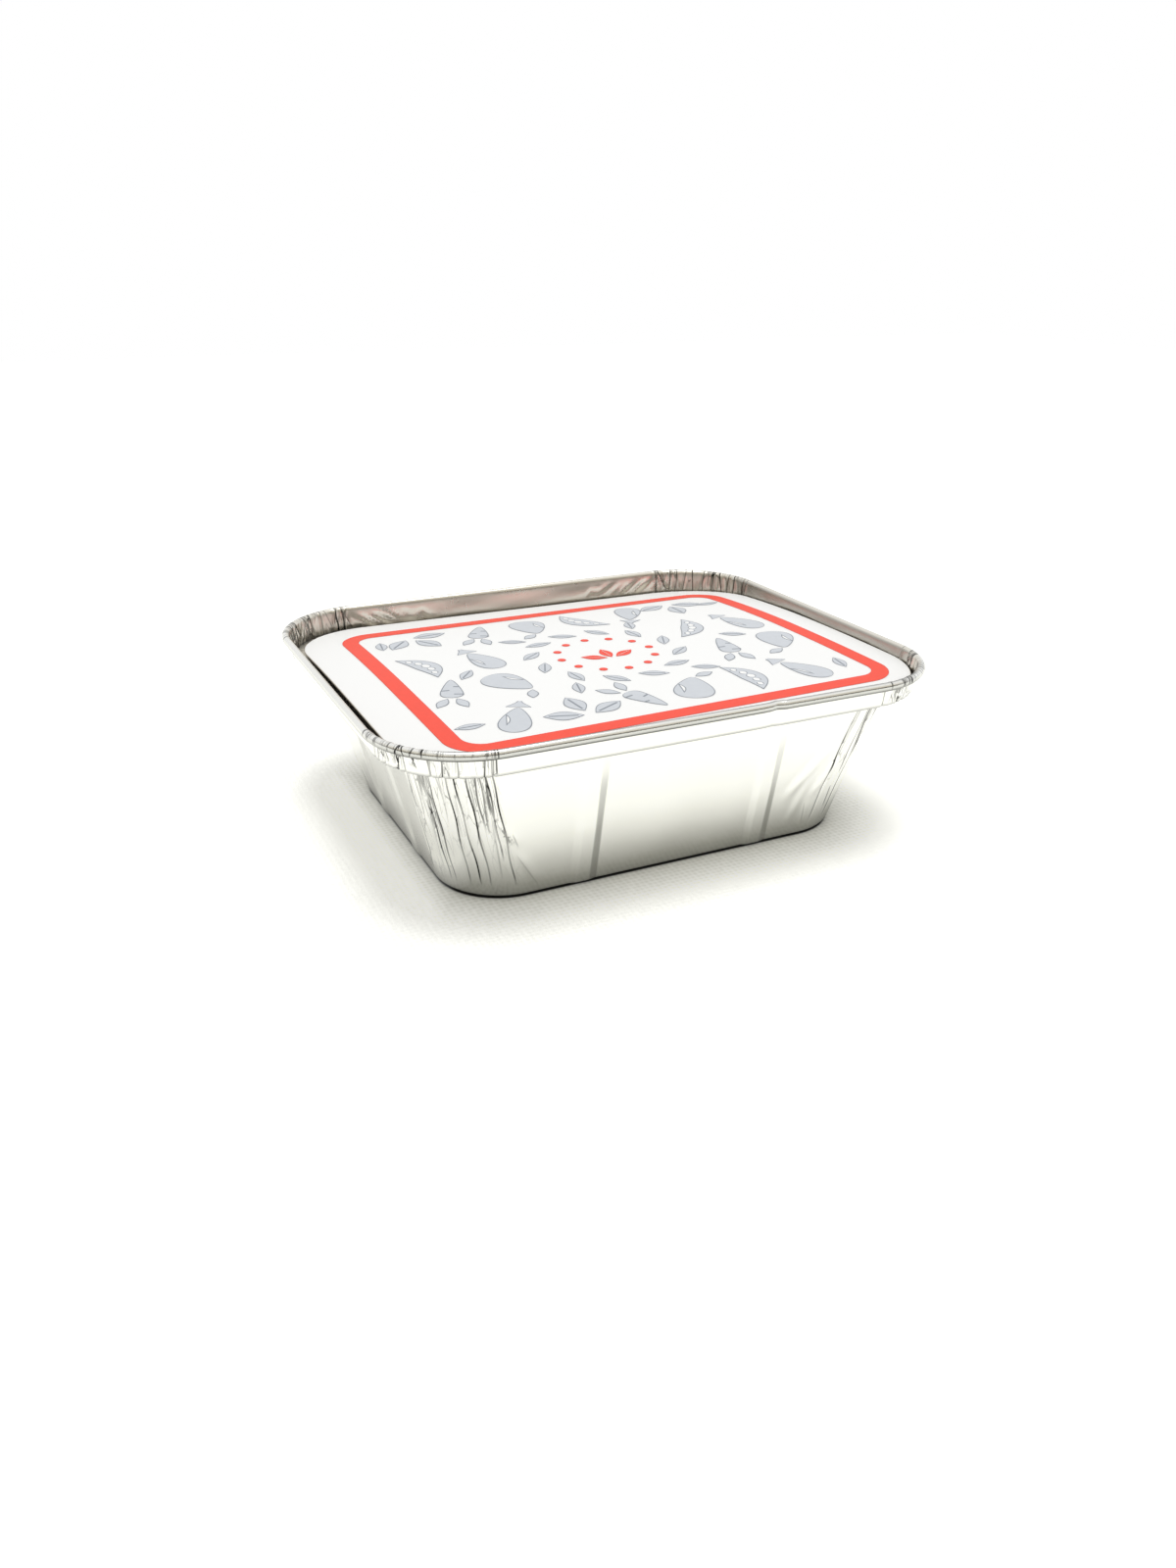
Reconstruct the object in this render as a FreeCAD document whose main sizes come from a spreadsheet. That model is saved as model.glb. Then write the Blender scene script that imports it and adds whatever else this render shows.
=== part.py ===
import FreeCAD, Part
import math
import os

import Sketcher

# A pressed foil food container with a card lid resting inside its rim.
# Millimetres. The origin is the middle of the base's underside, X runs along the
# long side, Y along the short side and Z up.

DRIVING = [
    ("overall_length", 145.0, "length over the rolled edge"),
    ("overall_width", 120.0, "width over the rolled edge"),
    ("overall_height", 44.5, "height to the top of the rolled edge"),
    ("foil_thickness", 0.1, "thickness of the foil"),
    ("bead_diameter", 2.2, "outside diameter of the rolled edge"),
    ("bead_corner", 24.3, "corner radius over the rolled edge"),
    ("ledge_level", 37.7, "height of the ledge's underside"),
    ("ledge_length", 140.0, "length over the fold between ledge and upstand"),
    ("ledge_width", 115.0, "width over the same fold"),
    ("ledge_corner", 22.0, "corner radius of that fold"),
    ("mouth_length", 128.4, "length over the wall where it meets the ledge"),
    ("mouth_width", 103.6, "width over the wall there"),
    ("mouth_corner", 17.0, "corner radius there"),
    ("base_length", 108.8, "length of the base, carried to its sharp edge"),
    ("base_width", 87.8, "width of the base, carried to its sharp edge"),
    ("base_corner", 16.4, "corner radius of the base"),
    ("base_bend", 2.0, "radius of the bend between base and wall"),
    ("rib_depth", 0.6, "how far a wall rib stands out"),
    ("rib_foot", 6.8, "width of a rib at its foot"),
    ("rib_crest", 3.2, "width of a rib on its crest"),
    ("long_wall_rib", 23.8, "distance of the long walls' ribs from the middle"),
    ("short_wall_rib", 13.0, "distance of the short walls' ribs from the middle"),
    ("pleat_count", 9, "gathers pressed into each corner"),
    ("pleat_depth", 0.75, "depth of a gather at the ledge"),
    ("pleat_width", 1.4, "width of a gather"),
    ("dent_place", 17.9, "place of the dent along the front edge"),
    ("dent_depth", 0.6, "depth of that dent"),
    ("dent_reach", 2.4, "distance from the dent's middle to sound foil"),
    ("card_thickness", 0.5, "thickness of the card lid"),
    ("card_length", 137.0, "length of the lid"),
    ("card_width", 112.0, "width of the lid"),
    ("card_corner", 22.0, "corner radius of the lid"),
    ("card_rise", 2.4, "how far the lid's middle bows above its long edges"),
    ("lid_right", 1.2, "how far the lid lies to the right of the tray's middle"),
    ("ink_thickness", 0.05, "thickness of a printed layer"),
    ("border_length", 119.0, "length over the printed border"),
    ("border_width", 95.0, "width over the printed border"),
    ("border_corner", 9.5, "corner radius over the printed border"),
    ("border_line", 4.4, "width of the border's line"),
    ("print_right", 1.8, "how far the print sits to the right of the lid's middle"),
    ("print_front", 0.7, "how far the print sits in front of the lid's middle"),
    ("wreath_radius", 17.6, "radius of the printed wreath"),
    ("dot_ring_radius", 12.8, "radius of the ring of dots inside it"),
    ("motif_pitch", 15.6, "distance between printed motifs in a row"),
    ("row_pitch", 21.0, "distance between rows of motifs"),
    ("motif_scale", 1.3, "size of a printed motif against its drawing below"),
]

doc = FreeCAD.newDocument("foil_food_container")
sheet = doc.addObject("Spreadsheet::Sheet", "Dimensions")
for row, (alias, value, meaning) in enumerate(DRIVING, start=1):
    sheet.set("A%d" % row, meaning)
    sheet.set("B%d" % row, str(value))
    sheet.setAlias("B%d" % row, alias)
doc.recompute()


def size(alias):
    """Value of a driving dimension, read from the sheet."""
    return float(sheet.get(alias))


def mix(first, last, share):
    """Value at a share of the way from first to last."""
    return first + (last - first) * share


# The tray's section: rows from the base's edge to the tip of the rolled edge


class Row:
    """One fold line right round the tray, on the skin that faces out and down."""

    def __init__(self, plan, level, pleat=0.0, rib=0.0, dent=0.0):
        self.half_length, self.half_width, self.corner = plan
        self.level = level
        self.pleat = pleat
        self.rib = rib
        self.dent = dent

    def reach(self):
        """Mean distance from the middle, for directions in the section."""
        return (self.half_length + self.half_width) / 2

    def moved(self, outward, upward):
        """The same line moved in the section by a given amount."""
        plan = (self.half_length + outward, self.half_width + outward, self.corner + outward)
        return Row(plan, self.level + upward, self.pleat, self.rib, self.dent)


def wall_plan(level):
    """Plan of the sloping wall at a level: half length, half width, corner radius."""
    share = level / size("ledge_level")
    return (
        mix(size("base_length"), size("mouth_length"), share) / 2,
        mix(size("base_width"), size("mouth_width"), share) / 2,
        mix(size("base_corner"), size("mouth_corner"), share),
    )


def grown(plan, outward):
    """A plan made larger all round."""
    return tuple(value + outward for value in plan)


def bend_rows():
    """Bend between base and wall: an arc tangent to both, in two steps."""
    steps = 2
    flare = (size("mouth_length") + size("mouth_width") - size("base_length") - size("base_width")) / 4
    turn = math.atan2(size("ledge_level"), flare)
    radius = size("base_bend")
    setback = radius * math.tan(turn / 2)
    rows = []
    for step in range(steps + 1):
        angle = turn * step / steps
        plan = grown(wall_plan(0.0), radius * math.sin(angle) - setback)
        rows.append(Row(plan, radius * (1 - math.cos(angle)), rib=0.8 * step / steps))
    return rows


def wall_rows():
    """Sloping wall: the gathers deepen upwards and the ribs fade."""
    top = size("ledge_level")
    return [
        Row(wall_plan(0.42 * top), 0.42 * top, pleat=0.45, rib=1.0),
        Row(wall_plan(top), top, pleat=0.9, rib=0.6),
    ]


def edge_rows():
    """Ledge's outer fold, upstand and the edge rolled outwards in steps of 45 degrees."""
    step = 45
    bead = size("bead_diameter") / 2
    path = bead - size("foil_thickness") / math.cos(math.radians(step / 2))
    centre_level = size("overall_height") - bead
    centre_plan = grown((size("overall_length") / 2, size("overall_width") / 2, size("bead_corner")), -bead)
    fold = (size("ledge_length") / 2, size("ledge_width") / 2, size("ledge_corner"))
    rows = [Row(fold, size("ledge_level"), pleat=1.0, dent=0.5)]
    for angle in range(180, -136, -step):
        outward = path * math.cos(math.radians(angle))
        upward = path * math.sin(math.radians(angle))
        pleat = max(0.0, (angle - 90) / 90) * 0.6
        rows.append(Row(grown(centre_plan, outward), centre_level + upward, pleat=pleat, dent=1.0))
    return rows


def inner_skin(rows):
    """Rows of the skin that faces the food: each moved by the foil's thickness along the mitre."""
    thickness = size("foil_thickness")
    directions = [(1.0, 0.0)]
    for lower, upper in zip(rows, rows[1:]):
        run = upper.reach() - lower.reach()
        climb = upper.level - lower.level
        length = math.hypot(run, climb)
        directions.append((run / length, climb / length))
    directions.append(directions[-1])
    moved = []
    for row, before, after in zip(rows, directions, directions[1:]):
        left_before = (-before[1], before[0])
        left_after = (-after[1], after[0])
        share = thickness / (1 + left_before[0] * left_after[0] + left_before[1] * left_after[1])
        outward = (left_before[0] + left_after[0]) * share
        upward = (left_before[1] + left_after[1]) * share
        moved.append(row.moved(outward, upward))
    return moved


# The tray's plan: columns right round, on four sides and four corners


class Column:
    """One place on the way round: on a side at a distance, or in a corner at a turn."""

    def __init__(self, quarter, place, in_corner=False, pleat=0.0, rib=0.0, dent=0.0):
        self.quarter = quarter
        self.place = place
        self.in_corner = in_corner
        self.pleat = pleat
        self.rib = rib
        self.dent = dent

    def point(self, row):
        """Point where this column meets a row, moved out by a rib or in by a gather."""
        angle = math.radians(90 * self.quarter + (self.place if self.in_corner else 0.0))
        normal = (math.cos(angle), math.sin(angle))
        shift = self.rib * row.rib - self.pleat * row.pleat - self.dent * row.dent
        if self.in_corner:
            x_sign = 1 if self.quarter in (0, 3) else -1
            y_sign = 1 if self.quarter in (0, 1) else -1
            x = x_sign * (row.half_length - row.corner) + normal[0] * (row.corner + shift)
            y = y_sign * (row.half_width - row.corner) + normal[1] * (row.corner + shift)
            return FreeCAD.Vector(x, y, row.level)
        reach = (row.half_width if self.quarter % 2 else row.half_length) + shift
        x = normal[0] * reach - normal[1] * self.place
        y = normal[1] * reach + normal[0] * self.place
        return FreeCAD.Vector(x, y, row.level)


def rib_columns(quarter, middle):
    """Four columns of one rib: foot, crest, crest, foot."""
    foot = size("rib_foot") / 2
    crest = size("rib_crest") / 2
    depth = size("rib_depth")
    return [
        Column(quarter, middle - foot),
        Column(quarter, middle - crest, rib=depth),
        Column(quarter, middle + crest, rib=depth),
        Column(quarter, middle + foot),
    ]


def dent_columns(quarter, middle):
    """Three columns of the dent in the front edge."""
    reach = size("dent_reach")
    return [
        Column(quarter, middle - reach),
        Column(quarter, middle, dent=size("dent_depth")),
        Column(quarter, middle + reach),
    ]


def corner_columns(quarter):
    """A corner's gathers: narrow V grooves at uneven turns, with smooth foil between."""
    count = int(size("pleat_count"))
    half_turn = math.degrees(size("pleat_width") / 2 / size("ledge_corner"))
    columns = [Column(quarter, 0.0, True)]
    for pleat in range(count):
        uneven = 0.27 * math.sin(2.4 * pleat + 1.9 * quarter)
        middle = 90 * (pleat + 0.5 + uneven) / count
        depth = size("pleat_depth") * (0.78 + 0.22 * math.cos(1.7 * pleat + 2.3 * quarter))
        lean = 0.35 * half_turn * (-1) ** pleat
        columns.append(Column(quarter, middle - half_turn, True))
        columns.append(Column(quarter, middle + lean, True, pleat=depth))
        columns.append(Column(quarter, middle + half_turn, True))
    columns.append(Column(quarter, 90.0, True))
    return columns


def tray_columns():
    """Every column in order, anticlockwise from the right-hand wall."""
    columns = []
    for quarter in range(4):
        rib = size("long_wall_rib") if quarter % 2 else size("short_wall_rib")
        columns += rib_columns(quarter, -rib)
        if quarter == 3:
            columns += dent_columns(quarter, size("dent_place"))
        columns += rib_columns(quarter, rib)
        columns += corner_columns(quarter)
    return columns


def flat_face(points):
    """Flat face with straight edges through the points."""
    return Part.Face(Part.makePolygon(points + [points[0]]))


def panel(first, second, third, fourth):
    """Foil between four points: one flat face, or two where a gather twists it."""
    normal = (second - first).cross(third - first)
    flatness = 1e-7
    if abs(normal.dot(fourth - first)) < flatness * max(normal.Length, flatness):
        return [flat_face([first, second, third, fourth])]
    return [flat_face([first, second, third]), flat_face([first, third, fourth])]


def skin_faces(grid):
    """Faces between neighbouring rows and columns of one skin."""
    faces = []
    for lower, upper in zip(grid, grid[1:]):
        for place in range(len(lower)):
            after = (place + 1) % len(lower)
            faces += panel(lower[place], lower[after], upper[after], upper[place])
    return faces


def foil_tray():
    """The tray, one pressed sheet: two skins a foil's thickness apart, joined at the roll's tip."""
    outer_rows = bend_rows() + wall_rows() + edge_rows()
    columns = tray_columns()
    outer = [[column.point(row) for column in columns] for row in outer_rows]
    inner = [[column.point(row) for column in columns] for row in inner_skin(outer_rows)]
    faces = skin_faces(outer) + skin_faces(inner)
    faces += skin_faces([outer[-1], inner[-1]])
    faces += [flat_face(outer[0]), flat_face(inner[0])]
    shell = Part.makeShell(faces)
    shell.sewShape()
    solid = Part.Solid(shell)
    if solid.Volume < 0:
        solid.reverse()
    return solid


# The card lid and its print: flat blanks cut from thin layers of one vault


def plane_of(body, role):
    """One of a body's own origin planes, found by its role."""
    for feature in body.Origin.OriginFeatures:
        if feature.Role == role:
            return feature
    raise ValueError(role)


def rounded_rectangle(sketch, label, length, width, corner):
    """Rounded rectangle centred on the origin, bound to expressions for its three sizes."""
    first = sketch.GeometryCount
    a, b, r = 50.0, 40.0, 10.0
    corners = [(a - r, r - b, -90), (a - r, b - r, 0), (r - a, b - r, 90), (r - a, r - b, 180)]
    ends = [(r - a, -b, a - r, -b), (a, r - b, a, b - r), (a - r, b, r - a, b), (-a, b - r, -a, r - b)]
    for x0, y0, x1, y1 in ends:
        sketch.addGeometry(Part.LineSegment(FreeCAD.Vector(x0, y0, 0), FreeCAD.Vector(x1, y1, 0)))
    for x, y, start in corners:
        circle = Part.Circle(FreeCAD.Vector(x, y, 0), FreeCAD.Vector(0, 0, 1), r)
        sketch.addGeometry(Part.ArcOfCircle(circle, math.radians(start), math.radians(start + 90)))
    for side in range(4):
        line = first + side
        arc = first + 4 + side
        sketch.addConstraint(Sketcher.Constraint("Tangent", line, 2, arc, 1))
        sketch.addConstraint(Sketcher.Constraint("Tangent", arc, 2, first + (side + 1) % 4, 1))
    for side in range(3):
        sketch.addConstraint(Sketcher.Constraint("Equal", first + 4, first + 5 + side))
    sketch.addConstraint(Sketcher.Constraint("Symmetric", first, 1, first, 2, -2))
    sketch.addConstraint(Sketcher.Constraint("Symmetric", first + 1, 1, first + 1, 2, -1))
    sketch.addConstraint(Sketcher.Constraint("Horizontal", first + 2))
    sketch.addConstraint(Sketcher.Constraint("Vertical", first + 3))
    driving = [
        ("length", Sketcher.Constraint("DistanceX", first + 3, 1, first + 1, 1, 2 * a), length),
        ("width", Sketcher.Constraint("DistanceY", first, 1, first + 2, 1, 2 * b), width),
        ("corner", Sketcher.Constraint("Radius", first + 4, r), corner),
    ]
    for name, constraint, expression in driving:
        index = sketch.addConstraint(constraint)
        sketch.renameConstraint(index, "%s_%s" % (label, name))
        sketch.setExpression("Constraints.%s_%s" % (label, name), expression)


def blank(name, outlines):
    """Upright block with the given rounded rectangles as its plan, taller than the tray."""
    body = doc.addObject("PartDesign::Body", name)
    sketch = body.newObject("Sketcher::SketchObject", name + "_outline")
    sketch.AttachmentSupport = [(plane_of(body, "XY_Plane"), "")]
    sketch.MapMode = "FlatFace"
    for label, length, width, corner in outlines:
        rounded_rectangle(sketch, label, length, width, corner)
    pad = body.newObject("PartDesign::Pad", name + "_pad")
    pad.Profile = sketch
    pad.setExpression("Length", "Dimensions.overall_height")
    return body


VAULT_RADIUS = "(Dimensions.card_rise / 2 + Dimensions.card_width ^ 2 / (8 * Dimensions.card_rise))"
LEDGE_TOP = "(Dimensions.ledge_level + Dimensions.foil_thickness)"


def vault_cylinder(name, above):
    """Cylinder along X whose crown lies a given expression above the lid's lower face."""
    cylinder = doc.addObject("Part::Cylinder", name)
    along_x = FreeCAD.Rotation(FreeCAD.Vector(0, 1, 0), 90)
    cylinder.Placement = FreeCAD.Placement(FreeCAD.Vector(0, 0, 0), along_x)
    cylinder.setExpression("Radius", "%s + %s" % (VAULT_RADIUS, above))
    cylinder.setExpression("Height", "Dimensions.overall_length")
    cylinder.setExpression("Placement.Base.x", "-Dimensions.overall_length / 2")
    cylinder.setExpression("Placement.Base.z", "%s + Dimensions.card_rise - %s" % (LEDGE_TOP, VAULT_RADIUS))
    return cylinder


def vaulted(name, plan, lower, upper):
    """The part of a plan's block that lies in the vault's layer between two cylinders."""
    layer = doc.addObject("Part::Cut", name + "_layer")
    layer.Base = upper
    layer.Tool = lower
    piece = doc.addObject("Part::Common", name)
    piece.Base = plan
    piece.Tool = layer
    piece.Label = name
    return piece


def leaf(length, width, bend=0.0):
    """Pointed leaf along Y from the origin: half widths follow a sine, bent sideways by another."""
    steps = 4
    share = [step / steps for step in range(steps + 1)]
    right = [((bend + width / 2) * math.sin(math.pi * s), length * s) for s in share]
    left = [((bend - width / 2) * math.sin(math.pi * s), length * s) for s in share]
    return right + left[-2:0:-1]


def disc(radius):
    """Round spot as a six-sided outline."""
    steps = 6
    turns = [2 * math.pi * step / steps for step in range(steps)]
    return [(radius * math.cos(turn), radius * math.sin(turn)) for turn in turns]


def pear(height, width):
    """Pear or aubergine: an ellipse whose half width swells towards its foot."""
    steps = 12
    turns = [2 * math.pi * step / steps for step in range(steps)]
    return [
        (width / 2 * math.sin(t) * (0.75 + 0.33 * math.cos(t)), -height / 2 * math.cos(t))
        for t in turns
    ]


def root(length, width):
    """Tapering root with its tip down and round shoulders."""
    heights = (0.0, 0.35, 0.75, 0.95, 1.0)
    half = [width / 2 * h ** 0.6 * math.sqrt(max(0.0, 1 - h ** 9)) for h in heights]
    right = [(w, length * (h - 1)) for w, h in zip(half, heights)]
    left = [(-w, y) for w, y in right]
    return right + left[-2:0:-1]


def turned(outline, angle, x=0.0, y=0.0, scale=1.0):
    """Outline scaled, turned by an angle in degrees and then moved."""
    c = math.cos(math.radians(angle)) * scale
    s = math.sin(math.radians(angle)) * scale
    return [(x + c * u - s * v, y + s * u + c * v) for u, v in outline]


def trefoil():
    """Three broad leaves from one point."""
    return [turned(leaf(7.4, 4.0), angle, -angle / 60, -2.6 - abs(angle) / 40) for angle in (-68, 0, 68)]


def carrot():
    """Tapering root with two leaves above it."""
    outlines = [turned(root(9.6, 5.4), 0, 0, 2.6)]
    for angle in (-24, 24):
        outlines.append(turned(leaf(5.0, 2.2), angle, -angle / 30, 3.1))
    return outlines


def fruit():
    """Pear with one leaf beside its stalk."""
    return [turned(pear(11.0, 9.6), 0, 0, -0.8), turned(leaf(4.4, 2.2), -52, 0.6, 5.3)]


def pod():
    """Bent pod."""
    return [turned(leaf(14.0, 5.0, 2.4), 0, -1.6, -7.0)]


def aubergine():
    """Long fruit with a pointed cap."""
    cap = [(-2.2, 4.6), (2.2, 4.6), (1.3, 6.0), (0.0, 7.6), (-1.3, 6.0)]
    return [turned(pear(11.4, 7.4), 0, 0, -1.4), cap]


MOTIFS = (trefoil, carrot, fruit, pod, aubergine)
STRAY_LEAF = 7.6
WREATH_LEAF = 8.0


def motif_outlines():
    """Motifs in staggered rows inside the border, leaving the wreath's place free."""
    pitch = size("motif_pitch")
    half_field = size("border_length") / 2 - size("border_line") - pitch / 2
    free_radius = size("wreath_radius") + 11
    outlines = []
    for row in (-1.5, -0.5, 0.5, 1.5):
        y = row * size("row_pitch")
        stagger = 0.5 if abs(row) > 1 else 0.0
        for place in range(-4, 5):
            x = (place + stagger) * pitch
            if abs(x) > half_field or math.hypot(x, y) < free_radius:
                continue
            kind = MOTIFS[(place + int(2 * row)) % len(MOTIFS)]
            angle = 30 * math.sin(2.1 * place + 1.3 * row) + (180 if row in (-0.5, 1.5) else 0)
            outlines += [turned(outline, angle, x, y, size("motif_scale")) for outline in kind()]
    return outlines


def stray_leaf_outlines():
    """Single leaves where the rows leave gaps, in mirrored places with unlike turns."""
    pitch = size("motif_pitch")
    row_pitch = size("row_pitch")
    places = [(3.25 * pitch, 1.55 * row_pitch), (1.15 * pitch, 0.98 * row_pitch), (2.5 * pitch, 0.0)]
    outlines = []
    for number, (x, y) in enumerate(places):
        for x_side in (-1, 1):
            for y_side in ((-1, 1) if y else (1,)):
                angle = 40 + 75 * number + 50 * x_side * y_side
                middle = turned([(0.0, -STRAY_LEAF / 2)], angle, x_side * x, y_side * y)[0]
                outlines.append(turned(leaf(STRAY_LEAF, 0.42 * STRAY_LEAF), angle, *middle))
    return outlines


def wreath_outlines():
    """Ring of leaves round the middle, each leaning along the ring."""
    count = 12
    radius = size("wreath_radius")
    outlines = []
    for number in range(count):
        around = 360 * number / count
        x = -radius * math.sin(math.radians(around))
        y = radius * math.cos(math.radians(around))
        outlines.append(turned(leaf(WREATH_LEAF, 0.42 * WREATH_LEAF), around + 66, x, y))
    return outlines


def dot_outlines():
    """Ring of spots inside the wreath."""
    count = 12
    radius = size("dot_ring_radius")
    turns = [2 * math.pi * number / count for number in range(count)]
    return [turned(disc(1.1), 0, radius * math.sin(t), radius * math.cos(t)) for t in turns]


def sprig_outlines():
    """Three leaves from one point in the middle of the ring."""
    return [turned(leaf(7.0, 3.2), angle, -angle / 50, -3.4) for angle in (-62, 0, 62)]


def ink_plate(outline):
    """Flat plate of ink with this outline, lying on the vault where its middle touches it."""
    vault = size("card_rise") / 2 + size("card_width") ** 2 / (8 * size("card_rise")) + size("card_thickness")
    crown = size("ledge_level") + size("foil_thickness") + size("card_rise") + size("card_thickness")
    y_values = [y - size("print_front") for x, y in outline]
    middle = (min(y_values) + max(y_values)) / 2
    lean = math.asin(middle / vault)
    level = crown - vault * (1 - math.cos(lean))
    points = []
    for (x, _), y in zip(outline, y_values):
        along = y - middle
        points.append(FreeCAD.Vector(
            x + size("lid_right") + size("print_right"),
            middle + along * math.cos(lean),
            level - along * math.sin(lean),
        ))
    normal = FreeCAD.Vector(0, math.sin(lean), math.cos(lean))
    return flat_face(points).extrude(normal * size("ink_thickness"))


def ink_plates(name, outlines):
    """Plates side by side in one compound."""
    feature = doc.addObject("Part::Feature", name)
    feature.Shape = Part.makeCompound([ink_plate(outline) for outline in outlines])
    feature.Placement = FreeCAD.Placement()
    feature.Label = name
    return feature


def group(name, members):
    """Several pieces of one colour taken as one."""
    compound = doc.addObject("Part::Compound", name)
    compound.Links = members
    compound.Label = name
    return compound


tray = doc.addObject("Part::Feature", "foil_tray")
tray.Shape = foil_tray()
tray.Placement = FreeCAD.Placement()
tray.Label = "foil_tray"

card_blank = blank("card_blank", [
    ("outer", "Dimensions.card_length", "Dimensions.card_width", "Dimensions.card_corner"),
])
border_blank = blank("border_blank", [
    ("outer", "Dimensions.border_length", "Dimensions.border_width", "Dimensions.border_corner"),
    ("inner", "Dimensions.border_length - 2 * Dimensions.border_line",
     "Dimensions.border_width - 2 * Dimensions.border_line",
     "Dimensions.border_corner - Dimensions.border_line"),
])
card_blank.setExpression("Placement.Base.x", "Dimensions.lid_right")
border_blank.setExpression("Placement.Base.x", "Dimensions.lid_right + Dimensions.print_right")
border_blank.setExpression("Placement.Base.y", "-Dimensions.print_front")

card_lower = vault_cylinder("card_lower", "0")
card_upper = vault_cylinder("card_upper", "Dimensions.card_thickness")
ink_upper = vault_cylinder("ink_upper", "Dimensions.card_thickness + Dimensions.ink_thickness")

card_lid = vaulted("card_lid", card_blank, card_lower, card_upper)
border = vaulted("border", border_blank, card_upper, ink_upper)
red_print = group("red_print", [border, ink_plates("spots", dot_outlines() + sprig_outlines())])
grey_print = ink_plates("grey_print", motif_outlines() + stray_leaf_outlines() + wreath_outlines())
pieces = [tray, card_lid, red_print, grey_print]
doc.recompute()

for item in doc.Objects:
    if "Invalid" in item.State or "Error" in item.State:
        raise RuntimeError("%s failed: %s" % (item.Label, item.State))

os.makedirs("parts", exist_ok=True)
for piece in pieces:
    shape = piece.Shape
    if shape.isNull() or not shape.isValid() or shape.Volume <= 0:
        raise RuntimeError("%s has no sound solid" % piece.Label)
    box = shape.BoundBox
    print(piece.Label, "solids", len(shape.Solids), "volume", round(shape.Volume, 2),
          "box", [round(value, 3) for value in (box.XMin, box.YMin, box.ZMin, box.XMax, box.YMax, box.ZMax)])
for piece in pieces:
    piece.Shape.exportStep("parts/%s.step" % piece.Label)
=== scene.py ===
from functools import partial
import math

import bpy
import numpy as np
from mathutils import Matrix, Vector


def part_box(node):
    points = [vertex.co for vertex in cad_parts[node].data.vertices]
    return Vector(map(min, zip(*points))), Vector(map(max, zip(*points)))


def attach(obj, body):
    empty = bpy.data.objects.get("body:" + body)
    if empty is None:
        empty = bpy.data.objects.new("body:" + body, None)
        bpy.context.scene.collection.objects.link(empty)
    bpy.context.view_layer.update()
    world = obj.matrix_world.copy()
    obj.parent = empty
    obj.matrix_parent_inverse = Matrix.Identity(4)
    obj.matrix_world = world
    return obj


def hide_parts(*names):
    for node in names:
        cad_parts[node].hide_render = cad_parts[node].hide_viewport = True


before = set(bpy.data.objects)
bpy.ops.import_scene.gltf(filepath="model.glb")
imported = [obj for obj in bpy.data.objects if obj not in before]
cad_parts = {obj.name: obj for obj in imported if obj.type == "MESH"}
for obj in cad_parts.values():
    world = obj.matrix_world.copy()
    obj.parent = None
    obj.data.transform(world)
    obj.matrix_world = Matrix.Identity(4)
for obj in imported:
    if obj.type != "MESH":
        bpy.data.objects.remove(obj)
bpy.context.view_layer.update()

# A pressed foil food container with a bowed card lid. Shapes are worked out in millimetres.

MM = 0.001
TRAY_HIGH = np.array(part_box("foil_tray")[1]) / MM
CARD_LOW, CARD_HIGH = (np.array(corner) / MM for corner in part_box("card_lid"))

FOIL = 0.1  # thickness of the foil
BEAD = 2.2  # height of the rolled edge
BEAD_HALF = 0.85  # half its width, to the foil's middle
# Half length, half width and corner radius: over the rolled edge, at the ledge's two folds and at the base
RIM = np.array([TRAY_HIGH[0], TRAY_HIGH[1], 24.3])
LEDGE = np.array([70.0, 57.5, 22.0])
MOUTH = np.array([64.2, 51.8, 17.0])
BASE = np.array([54.4, 43.9, 16.4])
LEDGE_LEVEL = 37.7
HEIGHT = TRAY_HIGH[2]
RIB_DEPTH = 0.6
RIB_FOOT = 3.4  # half its width at the wall
RIB_CREST = 1.6  # and on its crest
RIB_PLACES = (13.0, 23.8)  # from the middle, on short and long walls
PLEATS = 9  # gathers in each corner
PLEAT_DEPTH = 0.55
PLEAT_WIDTH = 1.25
FINE_CREASES = 24  # lesser creases beside them on each corner of the wall
BAND_CREASES = 22  # and on each corner of the upstand
DENT_PLACE = 17.9  # along the front edge from its middle
DENT_DEPTH = 0.6
DENT_REACH = 2.4

CARD = 0.5  # thickness of the card
EASED = 0.12  # how far its cut edges are rounded
CARD_PLAN = np.append((CARD_HIGH - CARD_LOW)[:2] / 2, 22.0)
CARD_RISE = CARD_HIGH[2] - CARD_LOW[2] - CARD
CARD_CROWN = CARD_HIGH[2]
VAULT = CARD_RISE / 2 + CARD_PLAN[1] ** 2 / (2 * CARD_RISE) + CARD  # radius of its top face
# The lid is pushed right and forward, turned a little, up all over and more in front, its right end twisted
LID_RIGHT = (CARD_HIGH + CARD_LOW)[0] / 2
LID_FRONT = 1.0
LID_TURN = 0.01  # radians
LID_UP = 0.4
FRONT_UP = 1.6
RIGHT_UP = 0.45
# The print sits to the right and front of the lid's middle
PRINT_RIGHT = 1.8
PRINT_FRONT = 0.7
BORDER = np.array([59.5, 47.5, 9.5])  # half length, half width and corner radius over its outer edge
BORDER_LINE = 4.4  # width of its line
INK = 0.05  # thickness of a printed layer


# The tray's section and plan


def key_row(plan, level, pleat=0.0, rib=0.0, dent=0.0):
    """One fold line: plan sizes, level, and how much of each gather, rib and dent it has."""
    return np.array([plan[0], plan[1], plan[2], level, pleat, rib, dent])


def in_section(row):
    """Place of a row in the section: mean reach from the middle, and level."""
    return np.array([(row[0] + row[1]) / 2, row[3]])


def stretch(first, last, count):
    """Rows at even steps from first, without the last one."""
    share = np.linspace(0, 1, count, endpoint=False)[:, None]
    return first + share * (last - first)


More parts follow.
